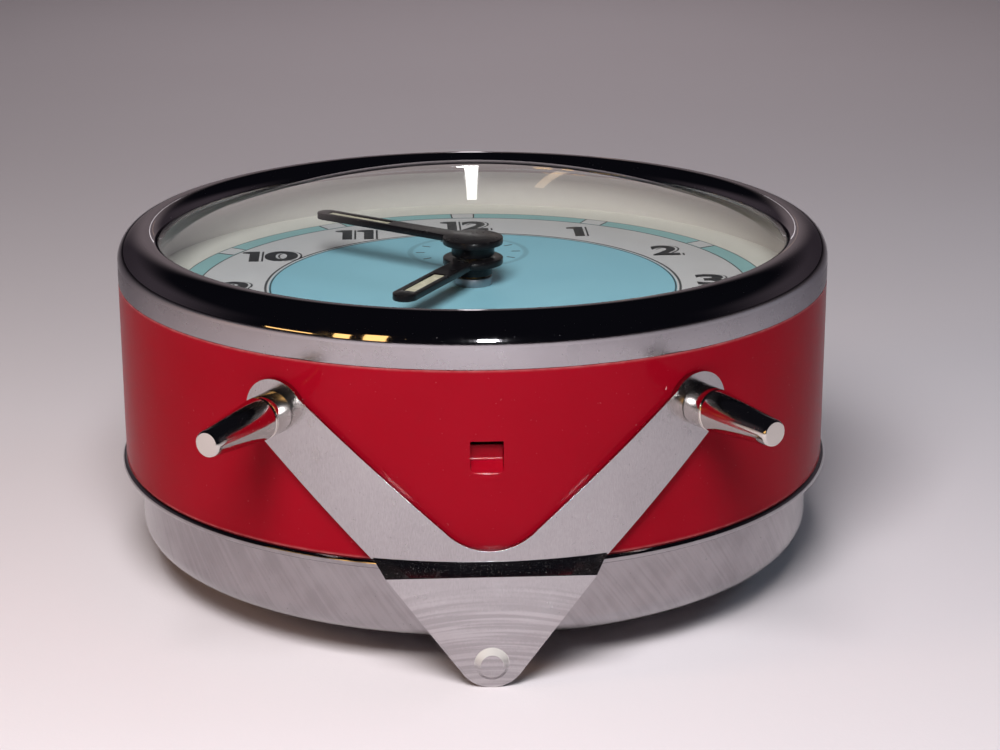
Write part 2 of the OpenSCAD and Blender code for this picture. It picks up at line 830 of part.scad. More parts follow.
module hour_hand() {
    color("black") hand(hour_len, hour_angle, hour_hand_z, hand_w*0.85, hand_w, hour_lume_w,
        hour_lume_at, hour_hub_r, hour_hub_h, hour_pipe_r, hour_hand_z + hand_t + 1);
}

module hour_lume() {
    color("cornsilk") translate([0, 0, hour_hand_z + hand_t - lume_sink - lume_t])
        rotate([0, 0, 90 - hour_angle]) linear_extrude(lume_t)
            lume_outline(hour_len, hour_lume_w, hour_lume_at);
}

// A small pointer with a tapered end
module alarm_hand() {
    root = 0.7;
    neck = 0.45;
    taper = alarm_len - 1.2;
    color("gray") at(alarm_set_at, alarm_hand_z) difference() {
        union() {
            cylinder(r = alarm_hub_r, h = alarm_hub_h);
            rotate([0, 0, 90 - alarm_angle]) linear_extrude(alarm_hand_t)
                polygon([[0, -root], [taper, -neck], [alarm_len, 0], [taper, neck], [0, root]]);
        }
        translate([0, 0, -1]) cylinder(r = set_r, h = alarm_hub_h + 2);
    }
}

module minute_wheel() {
    color("gold") at(minute_at, minute_wheel_z) difference() {
        union() {
            wheel(minute_n, motion_m, 0, motion_t, 0, minute_boss_r, 3);
            pinion(minute_pin_n, hour_m, mesh(minute_dir, hour_n, 0, minute_pin_n),
                hour_wheel_z + motion_t + 0.3 - minute_wheel_z);
        }
        translate([0, 0, -1]) cylinder(r = arbor_r + run, h = motion_h + 1);
    }
}

module hour_wheel() {
    color("gold") translate([0, 0, hour_wheel_z]) {
        wheel(hour_n, hour_m, 0, motion_t, hour_pipe_in, 2.6, 4);
        ring(hour_pipe_r, hour_pipe_in, hour_hand_z + hand_t - hour_wheel_z);
    }
}

// The wheel that lets the alarm go, turned by the hour wheel and free on the alarm arbor
module alarm_wheel() {
    color("gold") at(alarm_set_at, hour_wheel_z)
        wheel(alarm_n, hour_m, mesh(90, hour_n, 0, alarm_n), motion_t, set_r + run, 3, 4, true);
}

// The arbor from the alarm knob to the alarm hand, with the disc that holds the alarm wheel down
module alarm_set_arbor() {
    foot = alarm_knob_h - knob_seat;
    disc_r = 3;
    disc_t = 0.6;
    color("silver") at(alarm_set_at) {
        translate([0, 0, foot]) cylinder(r = set_r, h = alarm_hand_z + alarm_hub_h - foot);
        translate([0, 0, hour_wheel_z + motion_t + lift]) cylinder(r = disc_r, h = disc_t);
    }
}

// The knobs and keys at the back

set_knob_h = floor_z - 1.2;
alarm_knob_h = floor_z - 1.2;
knob_seat = 1;    // depth of an arbor in its knob
key_seat = 3;     // depth of a winding arbor in its key

module knob(r, h, flutes, bore) {
    grip = h*0.62;
    difference() {
        union() {
            linear_extrude(grip) difference() {
                circle(r);
                for (i = [0:flutes - 1]) rotate(i*360/flutes) translate([r + 0.25, 0]) circle(0.6, $fn = 16);
            }
            translate([0, 0, grip]) cylinder(r1 = r - 1.2, r2 = r*0.5, h = h - grip);
        }
        translate([0, 0, h - knob_seat]) cylinder(r = bore, h = 2);
    }
}

module set_knob() {
    color("dimgray") knob(set_knob_d/2, set_knob_h, 20, centre_r);
}

module alarm_set_knob() {
    color("dimgray") at(alarm_set_at) knob(alarm_knob_d/2, alarm_knob_h, 18, set_r);
}

key_h = floor_z - 1;

// A winding key: threaded hub and two rounded wings with a hole in each
module key(turn) {
    wing_r = key_h*0.4;
    wing_x = key_span/2 - wing_r;
    rotate([0, 0, turn]) difference() {
        union() {
            translate([0, 0, wing_r]) cylinder(r = 2.7, h = key_h - wing_r);
            translate([0, 0.7, 0]) rotate([90, 0, 0]) linear_extrude(1.4) difference() {
                union() {
                    for (side = [-1, 1]) translate([side*wing_x, wing_r]) circle(wing_r);
                    translate([-wing_x, wing_r*0.55]) square([2*wing_x, wing_r*1.1]);
                }
                for (side = [-1, 1]) translate([side*wing_x, wing_r]) circle(wing_r*0.42);
            }
        }
        translate([0, 0, key_h - key_seat]) cylinder(r = wind_r, h = key_seat + 1);
    }
}

module time_key() {
    color("silver") at(time_at) key(60);
}

module alarm_key() {
    color("silver") at(alarm_at) key(-50);
}

// The mainspring barrels and their winding work

module barrel(turn) {
    translate([0, 0, great_z]) difference() {
        wheel(great_n, great_m, turn, great_t, 0, 0, 0);
        translate([0, 0, -1]) cylinder(r = wind_r + slip, h = great_t + 2);
    }
    translate([0, 0, barrel_z]) ring(barrel_r, barrel_r - barrel_wall, great_z - barrel_z + eps);
}

module barrel_cap() {
    translate([0, 0, barrel_z]) ring(barrel_r - barrel_wall, wind_r + slip, cap_t);
}

module mainspring() {
    translate([0, 0, barrel_z + cap_t + lift]) linear_extrude(great_z - barrel_z - cap_t - 2*lift)
        polygon(spiral(core_r + 0.5, barrel_r - barrel_wall - spring_t, 8, spring_t, 24));
}

core_r = 3.2;
spring_t = 0.35;

module winding_arbor() {
    translate([0, 0, key_h - key_seat]) cylinder(r = wind_r, h = front_top - key_h + key_seat);
    translate([0, 0, barrel_z + cap_t + 0.2]) cylinder(r = core_r, h = great_z - barrel_z - cap_t - 0.4);
}

// A ratchet with saw teeth
module ratchet(turn) {
    step = 360/ratchet_n;
    translate([0, 0, ratchet_z]) rotate([0, 0, turn]) linear_extrude(ratchet_t) difference() {
        polygon([for (i = [0:ratchet_n - 1]) each [polar(ratchet_r - 0.9, i*step), polar(ratchet_r, i*step),
            polar(ratchet_r - 0.3, (i + 0.4)*step)]]);
        circle(wind_r);
    }
}

time_click_dir = 250;
alarm_click_dir = 285;
time_click_at = time_at + polar(click_far, time_click_dir);
alarm_click_at = alarm_at + polar(click_far, alarm_click_dir);

// A click on its stud, lifted just clear of the ratchet, whose nose drops into a tooth
module click() {
    function over(r, a) = polar(ratchet_r + r, a) - [click_far, 0];
    translate([0, 0, ratchet_z]) difference() {
        union() {
            cylinder(r = click_r, h = click_t);
            linear_extrude(click_t) polygon([over(0.2, click_nose), over(1.8, click_nose), [0.9, 1.05],
                [-0.9, 1.05], over(0.9, click_nose - 9), over(0.2, click_nose - 3)]);
        }
        translate([0, 0, -1]) cylinder(r = arbor_r + run, h = click_t + 2);
    }
}

module time_click() {
    color("silver") at(time_click_at) rotate([0, 0, time_click_dir]) click();
}

module alarm_click() {
    color("silver") at(alarm_click_at) rotate([0, 0, alarm_click_dir]) click();
}

module time_barrel() {
    color("gold") at(time_at) barrel(0);
}

module time_barrel_cap() {
    color("gold") at(time_at) barrel_cap();
}

module time_mainspring() {
    color("steelblue") at(time_at) mainspring();
}

module time_winding_arbor() {
    color("silver") at(time_at) winding_arbor();
}

module time_ratchet() {
    color("silver") at(time_at) ratchet(time_click_dir + click_nose + 0.3);
}

module alarm_barrel() {
    color("gold") at(alarm_at) barrel(0);
}

module alarm_barrel_cap() {
    color("gold") at(alarm_at) barrel_cap();
}

module alarm_mainspring() {
    color("steelblue") at(alarm_at) mainspring();
}

module alarm_winding_arbor() {
    color("silver") at(alarm_at) winding_arbor();
}

module alarm_ratchet() {
    color("silver") at(alarm_at) ratchet(alarm_click_dir + click_nose + 0.3);
}

// The going train

module centre_wheel() {
    sleeve_r = 1.5;
    color("gold") difference() {
        union() {
            translate([0, 0, rear_top + lift])
                cylinder(r = sleeve_r, h = centre_wheel_z + wheel_t - rear_top - lift);
            translate([0, 0, great_z - leaf_over])
                pinion(centre_pin_n, great_m, mesh(time_dir + 180, great_n, 0, centre_pin_n),
                    great_t + 2*leaf_over);
            translate([0, 0, centre_wheel_z]) wheel(centre_n, centre_m, 0, wheel_t, 0, 2.6, 4);
        }
        translate([0, 0, rear_top]) cylinder(r = centre_r + slip, h = plate_gap);
    }
}

module third_wheel() {
    color("gold") at(third_at) {
        pivoted_arbor();
        translate([0, 0, centre_wheel_z - leaf_over])
            pinion(third_pin_n, centre_m, mesh(third_dir, centre_n, 0, third_pin_n), wheel_t + 2*leaf_over);
        translate([0, 0, third_wheel_z]) wheel(third_n, third_m, 0, wheel_t, 0, 2.2, 4);
    }
}

module fourth_wheel() {
    color("gold") at(fourth_at) {
        pivoted_arbor();
        translate([0, 0, third_wheel_z - leaf_over])
            pinion(fourth_pin_n, third_m, mesh(fourth_dir, third_n, 0, fourth_pin_n), wheel_t + 2*leaf_over);
        translate([0, 0, fourth_wheel_z]) wheel(fourth_n, fourth_m, 0, wheel_t, 0, 2, 4);
    }
}

// A wheel of pointed teeth for pin pallets
module tooth_wheel(n, r, turn, h, root) {
    rotate([0, 0, turn]) linear_extrude(h) polygon([for (i = [0:n - 1]) each [
        polar(root, (i - 0.17)*360/n), polar(r, (i - 0.025)*360/n),
        polar(r, (i + 0.025)*360/n), polar(root, (i + 0.17)*360/n)]]);
}

// The turn that leaves the two pallet pins a quarter tooth from the nearest teeth
function escape_turn(dir, n, half) = dir + half + 90/n;

module escape_wheel() {
    color("gold") at(escape_at) {
        pivoted_arbor();
        translate([0, 0, fourth_wheel_z - leaf_over])
            pinion(escape_pin_n, fourth_m, mesh(escape_dir, fourth_n, 0, escape_pin_n),
                wheel_t + 2*leaf_over);
        translate([0, 0, escape_wheel_z])
            tooth_wheel(escape_n, escape_r, escape_turn(0, escape_n, lever_half), wheel_t, escape_r - 1.5);
    }
}

// Two arms from the arbor to the pallet pins, given as places round the arbor
module pallet_arms(pins, top, t, drop) {
    for (p = pins) {
        translate([0, 0, top]) linear_extrude(t) {
            rotate(atan2(p[1], p[0])) translate([0, -0.6]) square([norm(p), 1.2]);
            translate(p) circle(0.6);
        }
        translate([p[0], p[1], top - drop]) cylinder(r = pin_r, h = drop + eps, $fn = 24);
    }
}

// Pallet pins stand just outside the tips of the wheel that they stop
function pallet_pins(wheel_at, arbor_at, r, dir, half) =
    [for (s = [-1, 1]) wheel_at + polar(r + pin_r + run, dir + s*half) - arbor_at];

module pallet_lever() {
    fork_len = balance_r + lever_gap - impulse_r - pin_r - slip;
    color("gainsboro") at(lever_at) {
        pivoted_arbor();
        pallet_arms(pallet_pins(escape_at, lever_at, escape_r, 0, lever_half), lever_z, lever_t,
            lever_z - escape_wheel_z + 0.3);
        translate([0, 0, lever_z]) rotate([0, 0, balance_dir]) linear_extrude(lever_t) difference() {
            union() {
                circle(1.3);
                translate([0, -0.5]) square([fork_len - 1, 1]);
                translate([fork_len - 1.8, -1.1]) square([1.8, 2.2]);
            }
            translate([fork_len - 1, -0.4]) square([2, 0.8]);
        }
    }
}

// The balance

staff_z = rear_top + 0.1*plate_gap;
staff_h = 0.8*plate_gap;
balance_z = rear_top + 0.555*plate_gap;
hairspring_z = front_z - 0.26*plate_gap;
hairspring_in = 1.4;
hairspring_out = 5.6;
hairspring_t = 0.16;
hairspring_h = 0.6;

module balance_wheel() {
    color("goldenrod") at(balance_at, balance_z) {
        ring(balance_r, balance_r - 1.1, 1.2);
        difference() {
            linear_extrude(0.8) {
                circle(1.8);
                for (i = [0:2]) rotate(i*120) translate([0, -0.5]) square([balance_r - 0.6, 1]);
            }
            translate([0, 0, -1]) cylinder(r = 0.7, h = 3);
        }
    }
}

module balance_staff() {
    color("silver") at(balance_at) {
        translate([0, 0, staff_z]) cylinder(r = 0.7, h = staff_h);
        translate([0, 0, staff_z - 0.7]) cylinder(r = 0.25, h = staff_h + 1.4, $fn = 24);
        translate([0, 0, roller_z]) cylinder(r = impulse_r + 0.5, h = 0.6);
        rotate([0, 0, balance_dir + 180]) translate([impulse_r, 0, lever_z])
            cylinder(r = pin_r, h = roller_z - lever_z + eps, $fn = 24);
    }
}

module balance_screw(h) {
    difference() {
        cylinder(r = stud_r, h = h);
        translate([0, 0, -1]) cylinder(r = 0.35, h = 2, $fn = 24);
        translate([-2, -0.25, h - 0.6]) cube([4, 0.5, 1]);
    }
}

module balance_screws() {
    at(balance_at) color("steelblue") {
        translate([0, 0, staff_z + staff_h + run]) balance_screw(front_top + 0.9 - staff_z - staff_h);
        translate([0, 0, staff_z - run]) rotate([180, 0, 0]) balance_screw(staff_z - rear_z + 1.5);
    }
}

module hairspring() {
    color("steelblue") at(balance_at, hairspring_z) {
        linear_extrude(hairspring_h) polygon(spiral(hairspring_in, hairspring_out, 6, hairspring_t, 24));
        translate([hairspring_out - 0.4, -0.5, 0]) cube([1, 1, front_z - hairspring_z]);
    }
}

regulator_dir = 130;
regulator_far = 9.6;
regulator_turn = 20;

module regulator_lever() {
    color("silver") at(balance_at, rear_z - 1.3) rotate([0, 0, regulator_dir]) {
        linear_extrude(0.8) difference() {
            union() {
                circle(2.9);
                translate([0, -0.9]) square([regulator_far, 1.8]);
                translate([regulator_far, 0]) circle(0.9);
            }
            circle(stud_r + run);
        }
        translate([regulator_far, 0, floor_z - 1.8 - rear_z + 1.3])
            cylinder(r = 0.8, h = rear_z - 1.3 - floor_z + 1.8 + eps);
    }
}

// The alarm

hammer_z = rear_top + 0.077*plate_gap;
hammer_t = 1.2;
hammer_arm_dir = 66;
hammer_head_r = 2.4;
hammer_turn = 6;
alarm_escape_z = rear_top + 0.22*plate_gap;
strike_r = 0.6;
// The post stands in the cover's rim, and the hammer is just long enough to reach it at the end of its swing
strike_ring = (recess_r + cover_wall + cover_r - cover_round)/2;
swing_way = polar(1, hammer_arm_dir) + sin(hammer_turn)*polar(1, hammer_arm_dir - 90);
swing_from = hammer_at + polar(hammer_head_r + strike_r + 0.2, hammer_arm_dir - 90);
function reach_to(r, p, v) =
    let (b = p*v, a = v*v) (sqrt(b*b - a*(p*p - r*r)) - b)/a;
hammer_len = reach_to(strike_ring, swing_from, swing_way);
strike_at = swing_from + hammer_len*swing_way;

module alarm_escape_wheel() {
    color("gold") at(alarm_escape_at) {
        pivoted_arbor();
        translate([0, 0, great_z - leaf_over])
            pinion(alarm_pin_n, great_m, mesh(alarm_escape_dir, great_n, 0, alarm_pin_n),
                great_t + 2*leaf_over);
        translate([0, 0, alarm_escape_z]) tooth_wheel(alarm_escape_n, alarm_escape_r,
            escape_turn(hammer_dir, alarm_escape_n, hammer_half), wheel_t, alarm_escape_r - 1.3);
    }
}

module hammer() {
    arms_z = alarm_escape_z + wheel_t + 0.5;
    color("gray") at(hammer_at) {
        pivoted_arbor();
        pallet_arms(pallet_pins(alarm_escape_at, hammer_at, alarm_escape_r, hammer_dir, hammer_half),
            arms_z, 0.9, arms_z - alarm_escape_z + 0.3);
        translate([0, 0, arms_z]) cylinder(r = 1.4, h = 0.9);
        translate([0, 0, hammer_z]) linear_extrude(hammer_t) {
            circle(1.4);
            rotate(hammer_arm_dir) translate([0, -0.7]) square([hammer_len, 1.4]);
        }
        rotate([0, 0, hammer_arm_dir]) translate([hammer_len, 0, hammer_z - 0.4])
            cylinder(r = hammer_head_r, h = hammer_t + 1.2);
    }
}

module stop_button() {
    cap_h = 4;
    inner = 5;
    color("silver") radial(180, stop_z) translate([0, 0, case_in]) rotate_extrude() polygon([
        [0, -inner],
        [stop_r, -inner],
        [stop_r, -lift - stop_collar],
        [stop_r + 1.2, -lift - stop_collar],
        [stop_r + 1.2, -lift],
        [stop_r, -lift],
        [stop_r, case_wall + stop_travel + lift],
        [stop_d/2, case_wall + stop_travel + lift],
        [stop_d/2, case_wall + stop_travel + lift + cap_h - 0.8],
        [stop_d/2 - 0.8, case_wall + stop_travel + lift + cap_h],
        [0, case_wall + stop_travel + lift + cap_h + 0.4]
    ]);
}

case_drum();
bezel();
crystal();
dial();
dial_eyelet();
back_cover();
cover_screws();
back_posts();
stand_plate();
left_leg();
right_leg();
leg_nuts();
front_plate();
rear_plate();
pillars();
pillar_nuts();
balance_screws();
hairspring();
strike_post();
click_springs();
centre_arbor();
cannon_pinion();
friction_spring();
minute_hand();
minute_lume();
set_knob();
minute_wheel();
hour_wheel();
hour_hand();
hour_lume();
alarm_wheel();
alarm_hand();
alarm_set_arbor();
alarm_set_knob();
time_barrel();
time_barrel_cap();
time_mainspring();
time_winding_arbor();
time_ratchet();
time_key();
time_click();
centre_wheel();
third_wheel();
fourth_wheel();
escape_wheel();
pallet_lever();
balance_wheel();
balance_staff();
regulator_lever();
alarm_barrel();
alarm_barrel_cap();
alarm_mainspring();
alarm_winding_arbor();
alarm_ratchet();
alarm_key();
alarm_click();
alarm_escape_wheel();
hammer();
stop_button();
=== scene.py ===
# %% [markdown]
# # A wind-up alarm clock lying on its back
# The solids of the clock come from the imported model, in metres, and they stay where they are. This lesson
# adds what the eye reads on top of them: finer turned shells, the printed dial, a finish for every surface,
# and a floor, lights and a camera to look at it all with.

# %% Load the solids
import json
import math

import bmesh
import bpy
from mathutils import Matrix, Vector


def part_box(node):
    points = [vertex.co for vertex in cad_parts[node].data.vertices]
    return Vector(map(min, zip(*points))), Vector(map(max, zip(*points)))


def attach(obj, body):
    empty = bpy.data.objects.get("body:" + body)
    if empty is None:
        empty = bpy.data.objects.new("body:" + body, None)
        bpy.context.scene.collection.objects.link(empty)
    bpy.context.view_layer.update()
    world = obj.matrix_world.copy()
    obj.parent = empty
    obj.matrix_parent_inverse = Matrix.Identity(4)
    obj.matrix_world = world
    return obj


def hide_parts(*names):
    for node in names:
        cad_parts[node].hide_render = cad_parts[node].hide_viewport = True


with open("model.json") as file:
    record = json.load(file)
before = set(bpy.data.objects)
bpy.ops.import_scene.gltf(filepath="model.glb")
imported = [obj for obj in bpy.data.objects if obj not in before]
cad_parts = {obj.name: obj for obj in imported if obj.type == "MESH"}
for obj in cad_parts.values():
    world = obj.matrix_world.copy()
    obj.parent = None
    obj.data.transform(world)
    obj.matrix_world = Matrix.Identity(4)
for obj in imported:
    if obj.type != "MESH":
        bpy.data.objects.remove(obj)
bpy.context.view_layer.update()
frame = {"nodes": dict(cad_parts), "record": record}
nodes = frame["nodes"]
body_of = {n: body for body, ns in frame["record"]["behaviour"]["bodies"].items() for n in ns}
slot_of = {p["node"]: p["material_slot"] for p in frame["record"]["subparts"]}
MM = 0.001

# %% [markdown]
# ## Camera
# The photograph was taken from in front of 6 o'clock, a little above the table, with a long lens. A camera
# could be placed by eye, but the edges of the bezel, the band and the back give its place by calculation.
# Yaw, pitch and roll are what is left because the clock isn't quite in the middle of the frame.

# %% Camera
SENSOR = 36.0
FRAME_PIXELS, FOCAL_PIXELS = 1000, 2431.97
AIM, CAMERA_FAR = Vector((0, 0, 0.0281)), 0.34321
AZIMUTH, ELEVATION, YAW, PITCH, ROLL = 2.3, 16.82, 0.62, -0.55, -0.33


def look(target, distance, azimuth, elevation, yaw, pitch, roll):
    """The matrix of a camera that looks at target and is then turned by yaw, pitch and roll, in degrees."""
    a, e, y, p, r = (math.radians(v) for v in (azimuth, elevation, yaw, pitch, roll))
    ahead = Vector((math.sin(a) * math.cos(e), math.cos(a) * math.cos(e), -math.sin(e)))
    right = Vector((math.cos(a), -math.sin(a), 0))
    up = right.cross(ahead)
    spot = target - ahead * distance
    facing = math.cos(p) * (math.cos(y) * ahead + math.sin(y) * right) + math.sin(p) * up
    right = math.cos(y) * right - math.sin(y) * ahead
    up = right.cross(facing)
    right, up = math.cos(r) * right + math.sin(r) * up, math.cos(r) * up - math.sin(r) * right
    turn = Matrix((right, up, -facing)).transposed().to_4x4()
    return Matrix.Translation(spot) @ turn


lens = bpy.data.cameras.new("photo_camera")
lens.sensor_width = SENSOR
lens.lens = FOCAL_PIXELS / FRAME_PIXELS * SENSOR
lens.clip_start = 0.01
camera = bpy.data.objects.new("photo_camera", lens)
camera.matrix_world = look(AIM, CAMERA_FAR, AZIMUTH, ELEVATION, YAW, PITCH, ROLL)
bpy.context.scene.collection.objects.link(camera)
bpy.context.scene.camera = camera
print("camera at", [round(v, 4) for v in camera.location], "with a lens of", round(lens.lens, 2), "mm")

# %% [markdown]
# ## Sums on sockets
# A finish is a small sum: a tone plus a cloud of noise, a mask times a colour. Placing Math nodes one by one
# hides that sum, so a socket is wrapped in a class whose operators add the nodes. Colours are mixed with the
# Mix node, because a Math node would turn them grey.

# %% A socket that can stand in a sum


def operator(operation, swapped=False):
    """A Python operator that adds one Math node."""
    def apply(self, other=None):
        terms = [self] if other is None else [other, self] if swapped else [self, other]
        return self.finish.add("ShaderNodeMath", {"operation": operation}, dict(enumerate(terms)))
    return apply


class Value:
    """A socket of a finish that can be added, multiplied and compared."""
    def __init__(self, finish, socket):
        self.finish, self.socket = finish, socket

    __add__ = __radd__ = operator("ADD")
    __mul__ = __rmul__ = operator("MULTIPLY")
    __sub__, __rsub__ = operator("SUBTRACT"), operator("SUBTRACT", True)
    __pow__ = operator("POWER")
    __gt__, __lt__ = operator("GREATER_THAN"), operator("LESS_THAN")
    __abs__ = operator("ABSOLUTE")


# %% [markdown]
# A material is a shader, an output and the nodes between them. One class holds all three: it sets a constant
# on a socket or wires a value to it, and one method adds any other node. The world round the clock is built
# with the same nodes, so it needs only another shader and another output.

# %% A finish with its shader


class Finish:
    """One material: a principled shader, and one method that adds any other node to it."""
    store, kinds = bpy.data.materials, ("ShaderNodeBsdfPrincipled", "ShaderNodeOutputMaterial")

    def __init__(self, name, **constants):
        self.material = self.store.new(name)
        self.material.use_nodes = True
        self.tree = self.material.node_tree
        self.tree.nodes.clear()
        self.shader, self.output = (self.tree.nodes.new(kind) for kind in self.kinds)
        self.tree.links.new(self.shader.outputs[0], self.output.inputs[0])
        self.show(**constants)

    def wire(self, node, sockets):
        for key, value in sockets.items():
            socket = node.inputs[key]
            if isinstance(value, Value):
                self.tree.links.new(value.socket, socket)
            elif socket.type == "RGBA":
                socket.default_value = (*value[:3], 1.0)
            else:
                socket.default_value = value

    def add(self, kind, settings=None, sockets=None, output=0):
        node = self.tree.nodes.new(kind)
        for key, value in (settings or {}).items():
            setattr(node, key, value)
        self.wire(node, sockets or {})
        return Value(self, node.outputs[output])

    def show(self, **sockets):
        """Gives sockets of the shader their values: Base_Color stands for Base Color."""
        self.wire(self.shader, {key.replace("_", " "): value for key, value in sockets.items()})


class Room(Finish):
    """The world round the clock, built with the same sums as a finish."""
    store, kinds = bpy.data.worlds, ("ShaderNodeBackground", "ShaderNodeOutputWorld")


# %% [markdown]
# ## The patterns that the finishes share
# Every pattern reads the piece's own Object coordinates, scaled to millimetres, so that a noise of scale 1
# has grains of about a millimetre. Noise gives clouds, dust and small bumps; a smooth step turns a noise or
# a distance into a mask; stretched noise gives the lines that a brush or a lathe tool leaves.

# %% Shared patterns


def place(finish):
    """Object coordinates in millimetres."""
    at = finish.add("ShaderNodeTexCoord", output="Object")
    return finish.add("ShaderNodeVectorMath", {"operation": "SCALE"}, {0: at, "Scale": 1 / MM})


def parts(finish, vector):
    first = finish.add("ShaderNodeSeparateXYZ", {}, {0: vector})
    return [Value(finish, first.socket.node.outputs[i]) for i in range(3)]


def joined(finish, x, y, z):
    return finish.add("ShaderNodeCombineXYZ", {}, {0: x, 1: y, 2: z})


def noise(finish, vector, scale, detail=2.0, rough=0.5):
    return finish.add("ShaderNodeTexNoise", {},
                      {"Vector": vector, "Scale": scale, "Detail": detail, "Roughness": rough})


def step(finish, value, low, high):
    """0 below low, 1 above high and smooth between them."""
    return finish.add("ShaderNodeMapRange", {"interpolation_type": "SMOOTHSTEP"},
                      {"Value": value, "From Min": low, "From Max": high})


def blend(finish, factor, a, b):
    return finish.add("ShaderNodeMix", {"data_type": "RGBA"}, {0: factor, 6: a, 7: b}, output=2)


def bump(finish, height, depth_mm):
    return finish.add("ShaderNodeBump", {}, {"Height": height, "Strength": 1.0, "Distance": depth_mm * MM})


def round_axis(finish, vector, x0=0.0, y0=0.0):
    """(radius, angle, height) of a place, round an axis along Z through x0, y0."""
    x, y, z = parts(finish, vector)
    x, y = x - x0, y - y0
    angle = finish.add("ShaderNodeMath", {"operation": "ARCTAN2"}, {0: y, 1: x})
    return (x * x + y * y) ** 0.5, angle, z


# %% [markdown]
# ## Red lacquer
# The drum is a steel band under a thick glossy lacquer. The colour sits under a clear coat, so the shader's
# coat carries the sharp reflection and the base stays soft. Sprayed lacquer is never quite flat: shallow
# waves a millimetre or two long make the reflection swim, and a little dust has settled in it. At the two
# edges of the band a paler red is painted in, broken up by noise: a painted highlight along the edges.

# %% Red lacquer
BAND_LOW, BAND_HIGH = (v.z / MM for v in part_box("case_drum"))
BAND_MIDDLE, BAND_HALF = (BAND_LOW + BAND_HIGH) / 2, (BAND_HIGH - BAND_LOW) / 2
HIGHLIGHT_FROM, HIGHLIGHT_TO = BAND_HALF - 0.35, BAND_HALF + 0.1
red = Finish("red_lacquer", IOR=1.05, Coat_Roughness=0.035, Coat_IOR=1.3)
at = place(red)
cloud = noise(red, at, 0.07, 3)
dust = step(red, noise(red, at, 2.6, 1), 0.755, 0.80)
# Painted highlight: a paler red along both edges of the band, broken up by noise.
edge_highlight = step(red, abs(parts(red, at)[2] - BAND_MIDDLE), HIGHLIGHT_FROM, HIGHLIGHT_TO)
tone = blend(red, cloud, (0.270, 0.0020, 0.0090), (0.330, 0.0035, 0.0145))
tone = blend(red, edge_highlight * noise(red, at, 0.8, 3), tone, (0.62, 0.20, 0.20))
red.show(Base_Color=blend(red, dust * 0.18, tone, (0.60, 0.30, 0.30)),
         Roughness=0.26 + cloud * 0.12 + dust * 0.2,
         Coat_Weight=0.22 - dust * 0.2,
         Normal=bump(red, noise(red, at, 0.55, 2) + noise(red, at, 1.7, 1) * 0.25, 0.012))
print("red lacquer from", round(BAND_LOW, 1), "to", round(BAND_HIGH, 1), "mm")

# %% [markdown]
# ## Chrome and steel
# Six metals show on the outside: a dark mirror chrome on the bezel, a warmer chrome on the legs, a polished
# pressed back cover, a satin sheet for the stand, plain turned steel and a dull tinned collar. They share one
# recipe: a metal tone that drifts a little, a roughness with fingerprints in it, and fine lines from the way
# that the piece was worked. Some pieces aren't one finish all over, so two masks can make a part of them matt
# or pale; on the stand the pale mask paints highlights.

# %% A metal with worked lines
# A pale, matt metal tone, for unpolished metal and for painted highlights.
BARE_OR_HIGHLIGHT = (0.60, 0.58, 0.55)


def metal(name, light, dark, rough, smear, lines, depth_mm, tint=None, streaks=0.0, matt=None, pale=None):
    """lines makes a noise value from (finish, place): its ridges are depth_mm high, and streaks is how much
    they show in the tone. matt and pale make masks in the same way, for a brushed part and for a part that is
    pale and matt: unpolished metal and painted highlights."""
    m = Finish(name, Metallic=1.0)
    at = place(m)
    cloud = noise(m, at, 0.11, 4)
    print_marks = step(m, noise(m, at, 0.35, 3, 0.6), 0.52, 0.75)
    pits = step(m, noise(m, at, 4.5, 1), 0.74, 0.79)
    worked = lines(m, at)
    tone = blend(m, cloud, dark, light)
    if tint:
        tone = blend(m, step(m, noise(m, at, 0.05, 2), 0.45, 0.75), tone, tint)
    if streaks:
        paler = tuple(min(v * 1.7, 0.9) for v in light)
        tone = blend(m, step(m, worked, 0.38, 0.62) * streaks, tone, paler)
    tone = blend(m, pits * 0.4, tone, tuple(v * 0.35 for v in dark))
    shine = rough + print_marks * smear + worked * smear * 0.6 + pits * 0.25
    if matt:
        shine = shine + matt(m, at) * 0.22
    # The pale mask makes a part pale, matt and less metallic: unpolished metal inside the bezel, painted
    # highlights on the stand.
    if pale:
        bare_or_highlight = pale(m, at)
        tone = blend(m, bare_or_highlight, tone, BARE_OR_HIGHLIGHT)
        shine = shine + bare_or_highlight * 0.45
        m.show(Metallic=1.0 - bare_or_highlight * 0.9)
    m.show(Base_Color=tone, Roughness=shine, Normal=bump(m, worked + pits * -0.6, depth_mm))
    return m


def turned_lines(m, at):
    """Lines round the axis of a turned piece."""
    radius, angle, height = round_axis(m, at)
    return noise(m, joined(m, radius * 9.0, angle * 1.5, height * 9.0), 1.0, 3)


def skin(scale, detail):
    """No lines, only the slow waves of a plated or heated skin."""
    return lambda m, at: noise(m, at, scale, detail)


# %% [markdown]
# The back cover was polished on a wheel that crossed it from rear to front, which leaves a fan of fine
# upright streaks on top of the slow waves of pressing. The stand has a fine grain, and its tail shallow arcs
# round a point far below the floor: ridges, with paler lines in the tone that are a painted reflection. Pale
# specks on the bend above the tail are painted glints, and the upper side of the pressed foot a painted
# highlight.

# %% Worked lines of the cover and the stand
ARC_CENTRE_LOW, TAIL_FADE = 34.0, 8.0
STEP_LOW, STEP_HIGH, STEP_OUT = 14.7, 16.0, 48.0
FOOT_Z, FOOT_TOP_R, FOOT_R = 3.15, 1.42, 2.2


def polished_fan(m, at):
    radius, angle, height = round_axis(m, at)
    fan = noise(m, joined(m, angle * 80.0 + height * 1.3, height * 0.10, radius * 0.1), 1.0, 2)
    return noise(m, at, 0.22, 2) * 0.45 + fan * 0.55


